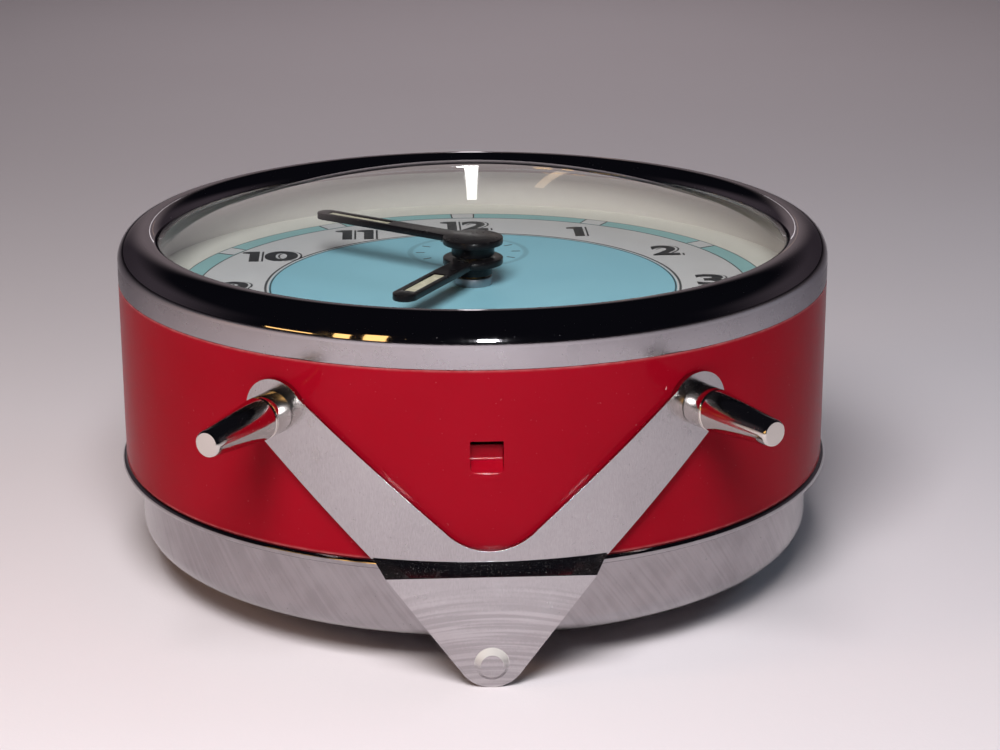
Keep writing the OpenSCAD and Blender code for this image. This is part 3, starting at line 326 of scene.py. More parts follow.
def ground_arcs(m, at):
    x, y, z = parts(m, at)
    grain = noise(m, joined(m, x * 9.0, y * 9.0, z * 1.6), 1.0, 3)
    below = z + ARC_CENTRE_LOW
    # The arcs on the tail become shallow ridges and, through the streaks, paler lines in the tone: the paler
    # lines are a painted reflection.
    reflection_arcs = noise(m, joined(m, (x * x + below * below) ** 0.5 * 2.1, x * 0.05, 0.0), 1.0, 1)
    tail = 1.0 - step(m, z, STEP_LOW - TAIL_FADE, STEP_LOW)
    return grain * 0.3 + 0.33 + tail * (reflection_arcs - 0.5) * 1.4


def rubbed(m, at):
    """Painted highlights: pale specks that stand for glints on the bend of the stand, and a pale upper side
    of its foot.
    """
    x, y, z = parts(m, at)
    # Painted glints: pale, matt specks on the bend of the stand.
    specks = step(m, noise(m, joined(m, x * 6.0, y * 10.0, z * 13.0), 1.0, 2, 0.7), 0.68, 0.76)
    high = z - FOOT_Z
    from_foot = (x * x + high * high) ** 0.5
    # Painted highlight on the upper side of the foot's ring.
    foot = (from_foot > FOOT_TOP_R) * (from_foot < FOOT_R) * step(m, high, -0.8, 1.4)
    return (specks * (z > STEP_LOW) * (z < STEP_HIGH) + foot) * (y < -STEP_OUT)


print("the stand is bent from", STEP_LOW, "to", STEP_HIGH, "mm")

# %% [markdown]
# The bezel is bright only where it shows: its skirt is brushed, and nobody polished the wall inside it. Both
# places are told apart by the sizes of the rim, which the lathe further down uses again.

# %% Parts of the bezel
CASE_R, WALL, FIT = 49.0, 0.8, 0.05
SKIRT_LOW, SKIRT_TOP, CRYSTAL_Z = 40.5, 43.4, 44.8
INNER = CASE_R - WALL - FIT
NEAR_OUTSIDE, BELOW_BEND, NEAR_INSIDE = 0.3, 0.1, 0.25


def bezel_skirt(m, at):
    radius, angle, height = round_axis(m, at)
    return (radius > CASE_R - NEAR_OUTSIDE) * (height < SKIRT_TOP - BELOW_BEND)


def bezel_inside(m, at):
    radius, angle, height = round_axis(m, at)
    return (radius < INNER - WALL + NEAR_INSIDE) * (height < CRYSTAL_Z)


print("skirt from", SKIRT_LOW, "to", SKIRT_TOP, "mm")

# %% [markdown]
# Now the recipe can be used. The chrome of the bezel gets one thing more: a dark edge tint, because the
# shader makes any metal almost white at a glancing angle, and the ends of the bezel stay dark in the photo.

# %% The outside metals
chrome = metal("chrome_trim", (0.46, 0.44, 0.46), (0.38, 0.36, 0.38), 0.03, 0.05, skin(0.5, 2), 0.0015,
               matt=bezel_skirt, pale=bezel_inside)
chrome.show(Specular_Tint=(0.45, 0.44, 0.46))
leg_chrome = metal("leg_chrome", (0.72, 0.68, 0.64), (0.58, 0.54, 0.50), 0.07, 0.06, skin(0.9, 2), 0.002)
polished = metal("polished_steel", (0.37, 0.35, 0.36), (0.27, 0.25, 0.26), 0.10, 0.08, polished_fan, 0.012,
                 streaks=0.16)
# The stand's pale mask paints highlights, and its streaks paint paler arcs on the tail, a painted reflection.
satin = metal("satin_steel", (0.45, 0.43, 0.44), (0.36, 0.34, 0.35), 0.17, 0.10, ground_arcs, 0.010,
              streaks=0.30, pale=rubbed)
plain = metal("plain_steel", (0.56, 0.56, 0.57), (0.44, 0.44, 0.45), 0.20, 0.12, turned_lines, 0.006)
tin = metal("dull_tin", (0.50, 0.48, 0.51), (0.40, 0.38, 0.41), 0.46, 0.12, turned_lines, 0.006)
print("outside metals:", [m.material.name for m in (chrome, leg_chrome, polished, satin, plain, tin)])

# %% [markdown]
# ## Brass and blued steel
# Inside, plates and wheels are brass with turned lines that has gone a little brown in places, and springs
# and screws are steel heated until it turned blue, which runs to purple where the heat was uneven. A slow
# noise lays the second colour over the first.

# %% The inside metals
brass = metal("brass", (0.76, 0.55, 0.23), (0.60, 0.41, 0.15), 0.22, 0.14, turned_lines, 0.006,
              tint=(0.42, 0.25, 0.09))
blued = metal("blued_steel", (0.10, 0.14, 0.34), (0.05, 0.07, 0.20), 0.24, 0.12, skin(2.5, 3), 0.003,
              tint=(0.20, 0.09, 0.22))
print("inside metals:", [m.material.name for m in (brass, blued)])

# %% [markdown]
# ## Moulded black and luminous cream
# The hands and the two setting knobs are moulded in black plastic, which has a faint grain and has gathered
# pale dust. The hands carry a strip of luminous paint: a thick cream paste, grainy and a little browner in
# places, so its tone comes from a second, slower noise.

# %% Moulded black and luminous cream
black = Finish("black_plastic", IOR=1.3)
at = place(black)
dust = step(black, noise(black, at, 3.4, 2, 0.6), 0.62, 0.74)
black.show(Base_Color=blend(black, dust * 0.16, (0.007, 0.006, 0.007), (0.30, 0.27, 0.25)),
           Roughness=0.22 + noise(black, at, 0.5, 2) * 0.16 + dust * 0.3,
           Normal=bump(black, noise(black, at, 6.0, 2), 0.006))

cream = Finish("cream_lume", IOR=1.45)
at = place(cream)
grain = noise(cream, at, 7.0, 3)
stain = step(cream, noise(cream, at, 0.9, 3), 0.35, 0.7)
cream.show(Base_Color=blend(cream, stain, (0.52, 0.49, 0.36), (0.66, 0.63, 0.49)),
           Roughness=0.62 + grain * 0.25,
           Normal=bump(cream, grain, 0.03))
print("black plastic and cream paste are mixed")

# %% [markdown]
# ## Crystal
# The domed crystal is clear plastic over the dial. A refracting glass shader would be the plain answer, but
# lamps reach a dial behind it only as slow, noisy caustics. Here light passes straight through, and a mirror
# is mixed in by the angle of view, a few hundredths face on and nearly everything at a glancing angle, which
# is what makes the far half of the dome look milky. Only the outer face reflects: mirrored inside, the dial
# would be seen twice. A little haze catches the light.

# %% Crystal
crystal = Finish("clear_crystal", Metallic=1.0, Base_Color=(0.96, 0.97, 0.97))
at = place(crystal)
facing = crystal.add("ShaderNodeLayerWeight", {}, {"Blend": 0.5}, output="Facing")
inside = crystal.add("ShaderNodeNewGeometry", output="Backfacing")
upward = parts(crystal, crystal.add("ShaderNodeNewGeometry", output="Normal"))[2]
haze = step(crystal, noise(crystal, at, 0.16, 4, 0.65), 0.45, 0.8)
crystal.show(Roughness=0.02 + haze * 0.06)
mirror = (0.03 + facing ** 4.0 * 0.85 + haze * 0.012) * (upward > 0.0) * (1.0 - inside)
clear = crystal.add("ShaderNodeBsdfTransparent", {}, {"Color": (0.975, 0.985, 0.98)})
shiny = Value(crystal, crystal.shader.outputs[0])
both = crystal.add("ShaderNodeMixShader", {}, {0: mirror, 1: clear, 2: shiny})
crystal.tree.links.new(both.socket, crystal.output.inputs[0])
print("crystal reflects from the angle of view")

# %% [markdown]
# ## Printed dial
# The dial is a flat disc printed in rings: a sky-blue middle inside a double black line, a lilac-white ring
# for the numerals, a turquoise minute band, and cream out to the edge. Every ring is a mask on the distance
# from the axis, so one material draws them all and no picture is needed. The small ring for the alarm is the
# same sum round its own centre. Old paper-like print is uneven, so a cloud moves every tone a little.

# %% Printed dial
ALARM_AT, ALARM_RING_R, ALARM_RING_W = (0.0, 17.7), 8.5, 0.8
SKY = (0.255, 0.535, 0.640), (0.300, 0.585, 0.690)
WHITE = (0.58, 0.575, 0.585), (0.65, 0.645, 0.645)
TURQUOISE = (0.28, 0.500, 0.510), (0.33, 0.560, 0.560)
CREAM = (0.70, 0.685, 0.620), (0.76, 0.745, 0.680)
RINGS = ((28.5, WHITE), (38.6, TURQUOISE), (41.3, CREAM))
BLACK_LINES = ((28.3, 0.24), (28.95, 0.34), (38.55, 0.22), (41.35, 0.16))
dial = Finish("printed_dial", IOR=1.45)
at = place(dial)
radius, angle, height = round_axis(dial, at)
alarm_radius = round_axis(dial, at, *ALARM_AT)[0]
cloud = noise(dial, at, 0.16, 4)


def past(limit, soft=0.06):
    return step(dial, radius, limit - soft, limit + soft)


def line(distance, centre, width, soft=0.05):
    return 1.0 - step(dial, abs(distance - centre), width / 2 - soft, width / 2 + soft)


tone = blend(dial, cloud, *SKY)
tone = blend(dial, line(alarm_radius, ALARM_RING_R, ALARM_RING_W, 0.2) * 0.45, tone, (0.16, 0.30, 0.36))
for limit, colours in RINGS:
    tone = blend(dial, past(limit), tone, blend(dial, cloud, *colours))
for ring, width in BLACK_LINES:
    tone = blend(dial, line(radius, ring, width) * 0.9, tone, (0.02, 0.022, 0.025))
spots = step(dial, noise(dial, at, 0.9, 3, 0.7), 0.70, 0.80)
dial.show(Base_Color=blend(dial, spots * 0.22, tone, (0.30, 0.24, 0.16)),
          Roughness=0.46 + cloud * 0.2,
          Normal=bump(dial, noise(dial, at, 3.0, 3), 0.004))
print("the dial is printed in", len(RINGS) + 1, "rings and", len(BLACK_LINES), "lines")

# %% [markdown]
# Every solid names a slot, which says what it is made of. Going through the solids once gives all the pieces
# of the movement their finish. A shell that later stands for a solid takes the finish of the same slot,
# unless it is given another.

# %% Give every solid its finish
finishes = {"red_lacquer": red, "chrome_trim": chrome, "polished_steel": polished, "satin_steel": satin,
            "clear_crystal": crystal, "printed_dial": dial, "black_plastic": black, "cream_lume": cream,
            "brass": brass, "blued_steel": blued, "plain_steel": plain}
for name, solid in nodes.items():
    for held in solid.material_slots:
        held.material = finishes[slot_of[name]].material
print(len(nodes), "solids have", len(finishes), "finishes")

# %% [markdown]
# ## Turned shells
# The bezel and the crystal are bodies of revolution, and chrome shows every facet. A fine lathe gives them
# smooth curves: a closed outline in radius and height is swung round the axis. Spin would leave a seam, so
# the rings are joined in code and the last meets the first. Points on the axis fall together, so the form is
# merged and faces without area are taken out.

# %% A fine lathe
FINE, COARSE = 1e-7, 1e-6


def merged(form, dist=FINE):
    """Merges corners that fall together, removes faces without area and closes the gaps that they leave."""
    bmesh.ops.remove_doubles(form, verts=form.verts, dist=dist)
    bmesh.ops.dissolve_degenerate(form, edges=form.edges, dist=dist)
    bmesh.ops.holes_fill(form, edges=form.edges, sides=4)


def shaded(mesh, angle=32):
    """Smooth faces, with the real edges kept sharp."""
    mesh.shade_smooth()
    mesh.set_sharp_from_angle(angle=math.radians(angle))
    return mesh


def lathe(name, outline, steps=192, put=Matrix()):
    """Swings a closed outline of (radius, height) in mm round the Z axis, and then moves it by a matrix."""
    mesh = bpy.data.meshes.new(name)
    form = bmesh.new()
    rings = []
    for i in range(steps):
        turn = 2 * math.pi * i / steps
        rings.append([form.verts.new(put @ Vector((r * math.cos(turn), r * math.sin(turn), z)) * MM)
                      for r, z in outline])
    for a, b in zip(rings, rings[1:] + rings[:1]):
        for j in range(len(outline)):
            k = (j + 1) % len(outline)
            form.faces.new((a[j], b[j], b[k], a[k]))
    merged(form)
    bmesh.ops.recalc_face_normals(form, faces=form.faces)
    form.to_mesh(mesh)
    form.free()
    return shaded(mesh)


def arc(r0, z0, radius, start, end, steps):
    """Points on a circle in the outline, from one angle to another in degrees."""
    turns = [math.radians(start + (end - start) * i / steps) for i in range(steps + 1)]
    return [(r0 + radius * math.cos(t), z0 + radius * math.sin(t)) for t in turns]


# %% [markdown]
# The rim of the bezel is a quarter circle outside and a quarter ellipse inside, which ends on the crystal,
# and the sheet is the same outline once more, one wall further in. The crystal is a shallow cap of a sphere
# with a flat flange that the lip holds down. Each shell rides on the body of the solid that it stands for.

# %% Bezel and crystal
ROUND, SIGHT, DIAL_TOP, LIP_DROP, SKIRT_ROUND = 3.7, 43.0, 38.1, 2.25, 0.2
CREST_R, CREST_Z = CASE_R - ROUND, SKIRT_TOP + ROUND
RISE, CRYSTAL_T = 8.2, 1.2
FLANGE_OUT, FLANGE_IN, DOME_OUT, DOME_IN = SIGHT + 1.6, SIGHT - 0.8, SIGHT - 0.05, SIGHT - 1.0
DOME_R = (SIGHT ** 2 + RISE ** 2) / (2 * RISE)
DOME_Z = CRYSTAL_Z + RISE - DOME_R


def piece(name, mesh, node=None, body=None, slot=None, finish=None):
    """Puts a finished mesh in the scene on its body, in place of a solid where one is named."""
    slot = slot or slot_of[node]
    if not mesh.materials:
        mesh.materials.append((finish or finishes[slot]).material)
    made = bpy.data.objects.new(name, mesh)
    bpy.context.scene.collection.objects.link(made)
    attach(made, body or body_of[node])
    if node:
        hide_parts(node)
    return made


def lip_curve(across, down, steps=16):
    """The inner half of the rim, a quarter of an ellipse from the crest down to the crystal."""
    turns = [math.pi / 2 * i / steps for i in range(steps + 1)]
    return [(CREST_R - across * math.sin(t), CREST_Z - LIP_DROP + down * math.cos(t)) for t in turns]


def dome_arc(radius, far, steps=30):
    """The cap of the crystal, from the axis out to far."""
    out = [far * i / steps for i in range(steps + 1)]
    return [(r, DOME_Z + math.sqrt(radius ** 2 - r ** 2)) for r in out]


rim = (arc(CASE_R - SKIRT_ROUND, SKIRT_LOW + SKIRT_ROUND, SKIRT_ROUND, -90, 0, 4)
       + arc(CREST_R, SKIRT_TOP, ROUND, 0, 90, 28)
       + lip_curve(CREST_R - SIGHT, LIP_DROP)
       + lip_curve(CREST_R - SIGHT - WALL, LIP_DROP - WALL)[::-1]
       + arc(CREST_R, SKIRT_TOP, ROUND - WALL, 90, 0, 12)
       + [(INNER - WALL, SKIRT_TOP), (INNER - WALL, DIAL_TOP), (INNER, DIAL_TOP), (INNER, SKIRT_LOW)])
piece("bezel_rim", lathe("bezel_rim", rim, 256), "bezel")

cap = ([(FLANGE_IN, CRYSTAL_Z - CRYSTAL_T), (FLANGE_OUT, CRYSTAL_Z - CRYSTAL_T), (FLANGE_OUT, CRYSTAL_Z)]
       + dome_arc(DOME_R, DOME_OUT)[::-1] + dome_arc(DOME_R - CRYSTAL_T, DOME_IN))
piece("crystal_dome", lathe("crystal_dome", cap), "crystal")
print("bezel", len(rim), "points, crystal", len(cap), "points")

# %% [markdown]
# ## Back cover
# The cover is a pressed cup with a recess for the keys in its rear and a rolled bead where it meets the drum.
# It is turned like the bezel. Its sides are one outline from the middle of the recess out to the bead and
# back along the inside of the sheet.

# %% Outline of the back cover
COVER_R, COVER_ROUND, RECESS_R = 47.0, 3.0, 37.0
COVER_Z, RECESS_Z, BRIM_Z = 4.1, 10.0, 15.7
BEAD_R, BEAD_AT, BEAD_NECK, EDGE = 0.62, 48.9, 0.7, 0.35


def cover_outline():
    flat = COVER_R - COVER_ROUND
    return ([(0, RECESS_Z)] + arc(RECESS_R - EDGE, RECESS_Z - EDGE, EDGE, 90, 0, 4)
            + arc(RECESS_R + EDGE, COVER_Z + EDGE, EDGE, 180, 270, 4)
            + arc(flat, COVER_Z + COVER_ROUND, COVER_ROUND, -90, 0, 24) + [(COVER_R, BRIM_Z - BEAD_NECK)]
            + arc(BEAD_AT, BRIM_Z - BEAD_R, BEAD_R, 187, 450, 28) + [(COVER_R - WALL, BRIM_Z)]
            + arc(flat, COVER_Z + COVER_ROUND, COVER_ROUND - WALL, 0, -90, 12)
            + [(RECESS_R + WALL, COVER_Z + WALL), (RECESS_R + WALL, RECESS_Z + WALL),
               (0, RECESS_Z + WALL)])


print("cover outline of", len(cover_outline()), "points")

# %% [markdown]
# Holes for the arbors, the screws and the regulator are cut with a Boolean, which is plainer here than
# modelling round every hole. A tool is a prism over a flat outline that passes through the sheet.

# %% Back cover with its holes
HAND_HOLE, ALARM_HOLE = ((0, 0), 1.2), ((0, 17.7), 1.4)
KEY_HOLES = [((-15.85, -10.29), 2.0), ((17.98, -11.23), 2.0)]
SCREW_RING, SCREW_HOLE_R, SCREW_WAYS = 31, 1.1, (100, 215, 340)
REGULATOR_AT, SLOT_R, SLOT_W, SLOT_WAY, SLOT_HALF = (9.91, 20.92), 9.6, 2.6, 130, 28
HOLE_SIDES, CUT_LOW, CUT_HIGH = 40, RECESS_Z - 1, RECESS_Z + 2


def round_points(centre, radius, turns):
    """Points round a centre, at angles in radians."""
    return [(centre[0] + radius * math.cos(t), centre[1] + radius * math.sin(t)) for t in turns]


def prism(outline, z0, z1):
    """Corners and faces of a prism over a flat outline that runs anticlockwise."""
    n = len(outline)
    return ([Vector((x, y, z)) for z in (z0, z1) for x, y in outline],
            [list(range(n))[::-1], list(range(n, 2 * n))]
            + [[i, (i + 1) % n, n + (i + 1) % n, n + i] for i in range(n)])


def cutter(outline):
    """A prism over a flat outline in mm, through the bottom of the recess."""
    mesh = bpy.data.meshes.new("cutter")
    corners, faces = prism(outline, CUT_LOW, CUT_HIGH)
    mesh.from_pydata([c * MM for c in corners], [], faces)
    made = bpy.data.objects.new("cutter", mesh)
    bpy.context.scene.collection.objects.link(made)
    return made


def cut(mesh, cutters):
    """The mesh with every cutter taken out of it."""
    made = bpy.data.objects.new("uncut", mesh)
    bpy.context.scene.collection.objects.link(made)
    for tool in cutters:
        take = made.modifiers.new("cut", "BOOLEAN")
        take.operation, take.solver, take.object = "DIFFERENCE", "EXACT", tool
    result = bpy.data.meshes.new_from_object(made.evaluated_get(bpy.context.evaluated_depsgraph_get()))
    for spare in (made, *cutters):
        bpy.data.objects.remove(spare)
    form = bmesh.new()
    form.from_mesh(result)
    merged(form, COARSE)
    form.to_mesh(result)
    form.free()
    result.name = mesh.name
    return result


def slot_outline(steps=16):
    turns = [math.radians(SLOT_WAY - SLOT_HALF + 2 * SLOT_HALF * i / steps) for i in range(steps + 1)]
    return (round_points(REGULATOR_AT, SLOT_R + SLOT_W / 2, turns)
            + round_points(REGULATOR_AT, SLOT_R - SLOT_W / 2, turns[::-1]))


circle = [2 * math.pi * i / HOLE_SIDES for i in range(HOLE_SIDES)]
screws = [(centre, SCREW_HOLE_R)
          for centre in round_points((0, 0), SCREW_RING, [math.radians(way) for way in SCREW_WAYS])]
holes = [HAND_HOLE] + KEY_HOLES + [ALARM_HOLE] + screws
tools = [cutter(round_points(centre, r, circle)) for centre, r in holes] + [cutter(slot_outline())]
cup = cut(lathe("back_cup", cover_outline(), 256), tools)
piece("back_cup", shaded(cup), "back_cover")
print("back cover has", len(tools), "holes and", len(cup.polygons), "faces")

# %% [markdown]
# ## Legs
# The two legs are turned and chromed: a plain collar that ends in a groove, then a long taper to a flat end
# with a small rounding. Each screws through an arm of the stand into the drum. The lathe turns one upright
# outline, and a matrix lays it down along its own direction.

# %% Legs
LEG_R, LEG_TIP, LEG_LONG, LEG_COLLAR = 2.7, 1.7, 14.2, 3.2
LEG_Z, LEG_TURN, LEG_ROOT = 33.6, 32, 49.85
STUD_R, STUD_DEEP, EASE, GROOVE, GROOVE_EDGE = 1.5, 3.8, 0.12, 0.25, 0.06
TIP_TALL, TIP_ROUND = 0.5, ((0.04, 0.32), (0.12, 0.12), (0.25, 0.0))
TAPER_LOW, TAPER_HIGH, TAPER_STEPS = LEG_COLLAR + GROOVE, LEG_LONG - TIP_TALL, 8
taper = [(LEG_R + (LEG_TIP - LEG_R) * i / TAPER_STEPS, TAPER_LOW + (TAPER_HIGH - TAPER_LOW) * i / TAPER_STEPS)
         for i in range(TAPER_STEPS + 1)]
leg_outline = ([(0, -STUD_DEEP), (STUD_R, -STUD_DEEP), (STUD_R, 0)]
               + [(LEG_R - EASE, 0), (LEG_R - EASE / 3, EASE / 3), (LEG_R, EASE)]
               + [(LEG_R, LEG_COLLAR - GROOVE), (LEG_R - GROOVE_EDGE, LEG_COLLAR - GROOVE * 0.9)]
               + arc(LEG_R, LEG_COLLAR, GROOVE, 240, 120, 6)
               + [(LEG_R - GROOVE_EDGE, LEG_COLLAR + GROOVE * 0.9)] + taper
               + [(LEG_TIP - inward, LEG_LONG - down) for inward, down in TIP_ROUND] + [(0, LEG_LONG)])
for side, node in ((-1, "left_leg"), (1, "right_leg")):
    turn = math.radians(LEG_TURN) * side
    outward = Vector((math.sin(turn), -math.cos(turn), 0))
    put = (Matrix.Translation(outward * LEG_ROOT + Vector((0, 0, LEG_Z)))
           @ outward.to_track_quat("Z", "Y").to_matrix().to_4x4())
    piece(node + "_turned", lathe(node + "_turned", leg_outline, 72, put), node, finish=leg_chrome)
print("legs", LEG_LONG, "mm long")

# %% [markdown]
# ## Broken edges
# A solid from the model has razor edges, and a real pressed or moulded piece has none. A copy of the solid is
# merged, its flat triangles are joined, and its sharp edges get a narrow rounded bevel that catches light.
# The drum and the arms of the stand are rolled sheet made of flat facets, and a gloss shows them, so their
# faces get the normals of the true cylinder. The solid itself is left alone, and the copy stands for it.

# %% Copies with broken edges
MERGE, FLAT_ANGLE, SHARP_ANGLE, ROLLED_LEAN = 2e-6, 0.5, 35, 0.995


def rolled(mesh, above_mm):
    """Gives a sheet that is rolled round the axis the normals of the true cylinder, above a height."""
    normals = [corner.vector.copy() for corner in mesh.corner_normals]
    for side in mesh.polygons:
        for i in side.loop_indices:
            co = mesh.vertices[mesh.loops[i].vertex_index].co
            out = Vector((co.x, co.y, 0)).normalized()
            lean = side.normal.dot(out)
            if abs(lean) > ROLLED_LEAN and co.z > above_mm * MM:
                normals[i] = out if lean > 0 else -out
    mesh.normals_split_custom_set(normals)


def dressed(node, width_mm, rolled_above=None, finish=None):
    """A merged copy of a solid with its edges rounded by width_mm."""
    source = nodes[node].data
    mesh = bpy.data.meshes.new(node + "_dressed")
    mesh.from_pydata([v.co for v in source.vertices], [], [list(p.vertices) for p in source.polygons])
    form = bmesh.new()
    form.from_mesh(mesh)
    bmesh.ops.remove_doubles(form, verts=form.verts, dist=MERGE)
    bmesh.ops.dissolve_limit(form, angle_limit=math.radians(FLAT_ANGLE), verts=form.verts, edges=form.edges)
    limit = math.radians(SHARP_ANGLE)
    sharp = [e for e in form.edges if len(e.link_faces) == 2 and e.calc_face_angle() > limit]
    if width_mm:
        bmesh.ops.bevel(form, geom=sharp, offset=width_mm * MM, segments=2, profile=0.5, affect="EDGES",
                        clamp_overlap=True)
        merged(form, COARSE)
    form.to_mesh(mesh)
    form.free()
    shaded(mesh)
    if rolled_above is not None:
        rolled(mesh, rolled_above)
    return piece(node + "_dressed", mesh, node, finish=finish)


dressed("case_drum", 0, rolled_above=0)
dressed("stand_plate", 0.1, rolled_above=STEP_HIGH - 0.1)
dressed("dial_eyelet", 0.1, finish=tin)
for node, width in (("stop_button", 0), ("minute_hand", 0.14), ("hour_hand", 0.14), ("minute_lume", 0),
                    ("hour_lume", 0), ("time_key", 0.2), ("alarm_key", 0.2), ("set_knob", 0.15),
                    ("alarm_set_knob", 0.15), ("cover_screws", 0.1), ("alarm_hand", 0.05)):
    made = dressed(node, width)
    print(made.name, len(made.data.polygons), "faces")

# %% [markdown]
# ## Numerals
# The numerals are bold black print with a fine line standing off their right side. A font curve is the quick
# way to letter them, apart from the 1, whose flag the font doesn't have and which is a prism. Two print
# finishes are needed first: the black, a little worn, and the white of the dial's own ring.

# %% Digits and their print
PAPER = Finish("numeral_paper", IOR=1.45)
at = place(PAPER)
cloud = noise(PAPER, at, 0.16, 4)
PAPER.show(Base_Color=blend(PAPER, cloud, *WHITE), Roughness=0.5 + cloud * 0.2)
INK = Finish("numeral_ink", IOR=1.45)
at = place(INK)
worn = step(INK, noise(INK, at, 1.8, 3, 0.6), 0.55, 0.8)
INK.show(Base_Color=blend(INK, worn * 0.25, (0.035, 0.035, 0.040), (0.18, 0.18, 0.19)),
         Roughness=0.4 + worn * 0.25)
ONE = [(0.42, 0), (1, 0), (1, 1), (0.35, 1), (0, 0.94), (0, 0.86), (0.42, 0.80)]


def font_digit(digit):
    """Corners and faces of a digit of the font, as a solid one unit thick."""
    font = bpy.data.curves.new("digit", "FONT")
    font.body, font.size, font.offset, font.extrude, font.resolution_u = digit, 1.0, 0.035, 0.5, 5
    temporary = bpy.data.objects.new("digit", font)
    bpy.context.scene.collection.objects.link(temporary)
    shape = bpy.data.meshes.new_from_object(
        temporary.evaluated_get(bpy.context.evaluated_depsgraph_get()))
    made = [v.co.copy() for v in shape.vertices], [list(p.vertices) for p in shape.polygons]
    bpy.data.objects.remove(temporary)
    bpy.data.curves.remove(font)
    bpy.data.meshes.remove(shape)
    return made


DIGITS = {digit: prism(ONE, -0.5, 0.5) if digit == "1" else font_digit(digit) for digit in "0123456789"}
print(len(DIGITS), "digits")

# %% [markdown]
# Each numeral is fitted to its width and height on the dial. Three layers make the line beside it: a black
# one moved to the right, a white one over it that leaves only a line showing, and the numeral itself on top.
# They are solids a few hundredths of a millimetre thick, so no two faces lie in one plane and flicker.

# %% Numerals
NUMERAL_R, NUMERAL_TALL, NUMERAL_GAP, DIGIT_W = 33.4, 5.6, 0.75, 4.1
DIGIT_WIDE = {"0": 4.9, "1": 2.5, "2": 4.0, "4": 4.3}
LAYERS = (("numeral_lines", INK, 0.62, 0.02), ("numeral_gaps", PAPER, 0.34, 0.035),
          ("numerals", INK, 0.0, 0.05))


def numeral(text, x, y, bottom, thick):
    """Corners and faces of one numeral, upright on the dial and centred on x, y, in metres."""
    wide = [DIGIT_WIDE.get(digit, DIGIT_W) for digit in text]
    left = x - (sum(wide) + NUMERAL_GAP * (len(text) - 1)) / 2
    corners, faces = [], []
    for digit, w in zip(text, wide):
        points, sides = DIGITS[digit]
        low = [min(p[i] for p in points) for i in range(2)]
        span = [max(p[i] for p in points) - low[i] for i in range(2)]
        faces += [[i + len(corners) for i in side] for side in sides]
        corners += [((left + (p.x - low[0]) / span[0] * w) * MM,
                     (y + ((p.y - low[1]) / span[1] - 0.5) * NUMERAL_TALL) * MM,
                     (bottom + (p.z + 0.5) * thick) * MM) for p in points]
        left += w + NUMERAL_GAP
    return corners, faces


def numeral_layer(name, finish, shift, bottom, thick):
    corners, faces = [], []
    for hour in range(1, 13):
        turn = math.radians(90 - 30 * hour)
        x, y = NUMERAL_R * math.cos(turn) + shift, NUMERAL_R * math.sin(turn)
        more, sides = numeral(str(hour), x, y, bottom, thick)
        faces += [[i + len(corners) for i in side] for side in sides]
        corners += more
    mesh = bpy.data.meshes.new(name)
    mesh.from_pydata(corners, [], faces)
    form = bmesh.new()
    form.from_mesh(mesh)
    merged(form)
    bmesh.ops.recalc_face_normals(form, faces=form.faces)
    form.to_mesh(mesh)
    form.free()
    mesh.materials.append(finish.material)
    return piece(name, mesh, body="case", slot="printed_dial")


for name, finish, shift, thick in LAYERS:
    made = numeral_layer(name, finish, shift, DIAL_TOP, thick)
    print(made.name, len(made.data.polygons), "faces")

# %% [markdown]
# ## Scale of the regulator
# On the back, short strokes beside the slot show how far the regulator is moved, with a cross on one side for
# faster and a dash on the other for slower. They are printed, so they are prisms a few hundredths thick.

# %% Scale of the regulator
PRINT_T, STROKES, STROKE_W = 0.03, 7, 0.32
STROKE_IN, STROKE_OUT, STROKE_MORE = 11.7, 13.1, 0.7
SIGN_R, SIGN_LONG = 15.0, 1.8


def stroke(r0, r1, degrees, wide):
    """A bar along a radius of the regulator's slot."""
    turn = math.radians(degrees)
    along = Vector((math.cos(turn), math.sin(turn)))
    across = Vector((-math.sin(turn), math.cos(turn))) * wide / 2
    return [Vector(REGULATOR_AT) + v for v in (along * r0 - across, along * r1 - across, along * r1 + across,
                                               along * r0 + across)]


marks = []
for i in range(STROKES):
    far = STROKE_OUT + (STROKE_MORE if i % 3 == 0 else 0)
    marks.append(stroke(STROKE_IN, far, SLOT_WAY + SLOT_HALF * (2 * i / (STROKES - 1) - 1), STROKE_W))
for way in (SLOT_WAY - SLOT_HALF, SLOT_WAY + SLOT_HALF):
    marks.append(stroke(SIGN_R, SIGN_R + STROKE_W, way, SIGN_LONG))
cross = SIGN_R + STROKE_W / 2
marks.append(stroke(cross - SIGN_LONG / 2, cross + SIGN_LONG / 2, SLOT_WAY - SLOT_HALF, STROKE_W))
corners, faces = [], []
for mark in marks:
    more, sides = prism(mark, RECESS_Z - PRINT_T, RECESS_Z)
    faces += [[i + len(corners) for i in side] for side in sides]
    corners += [c * MM for c in more]
mesh = bpy.data.meshes.new("regulator_scale")
mesh.from_pydata(corners, [], faces)
mesh.materials.append(INK.material)
piece("regulator_scale", mesh, body="case", slot="polished_steel")
print("regulator scale of", len(marks), "strokes")

# %% [markdown]
# ## Marks round the dial
# The minute band carries a white block at every hour between thin black strokes, and the alarm ring has short
# strokes of its own. They repeat round a circle, so one Geometry Nodes tree makes them all: it puts a flat
# bar on each point of a circle, turns it outwards and makes it real. Its sizes are inputs with names.

# %% A tree that sets bars round a circle
INPUTS = {"Count": "Int", "Radius": "Float", "Length": "Float", "Width": "Float", "Thickness": "Float",
          "Start": "Float", "Centre": "Vector", "Finish": "Material"}


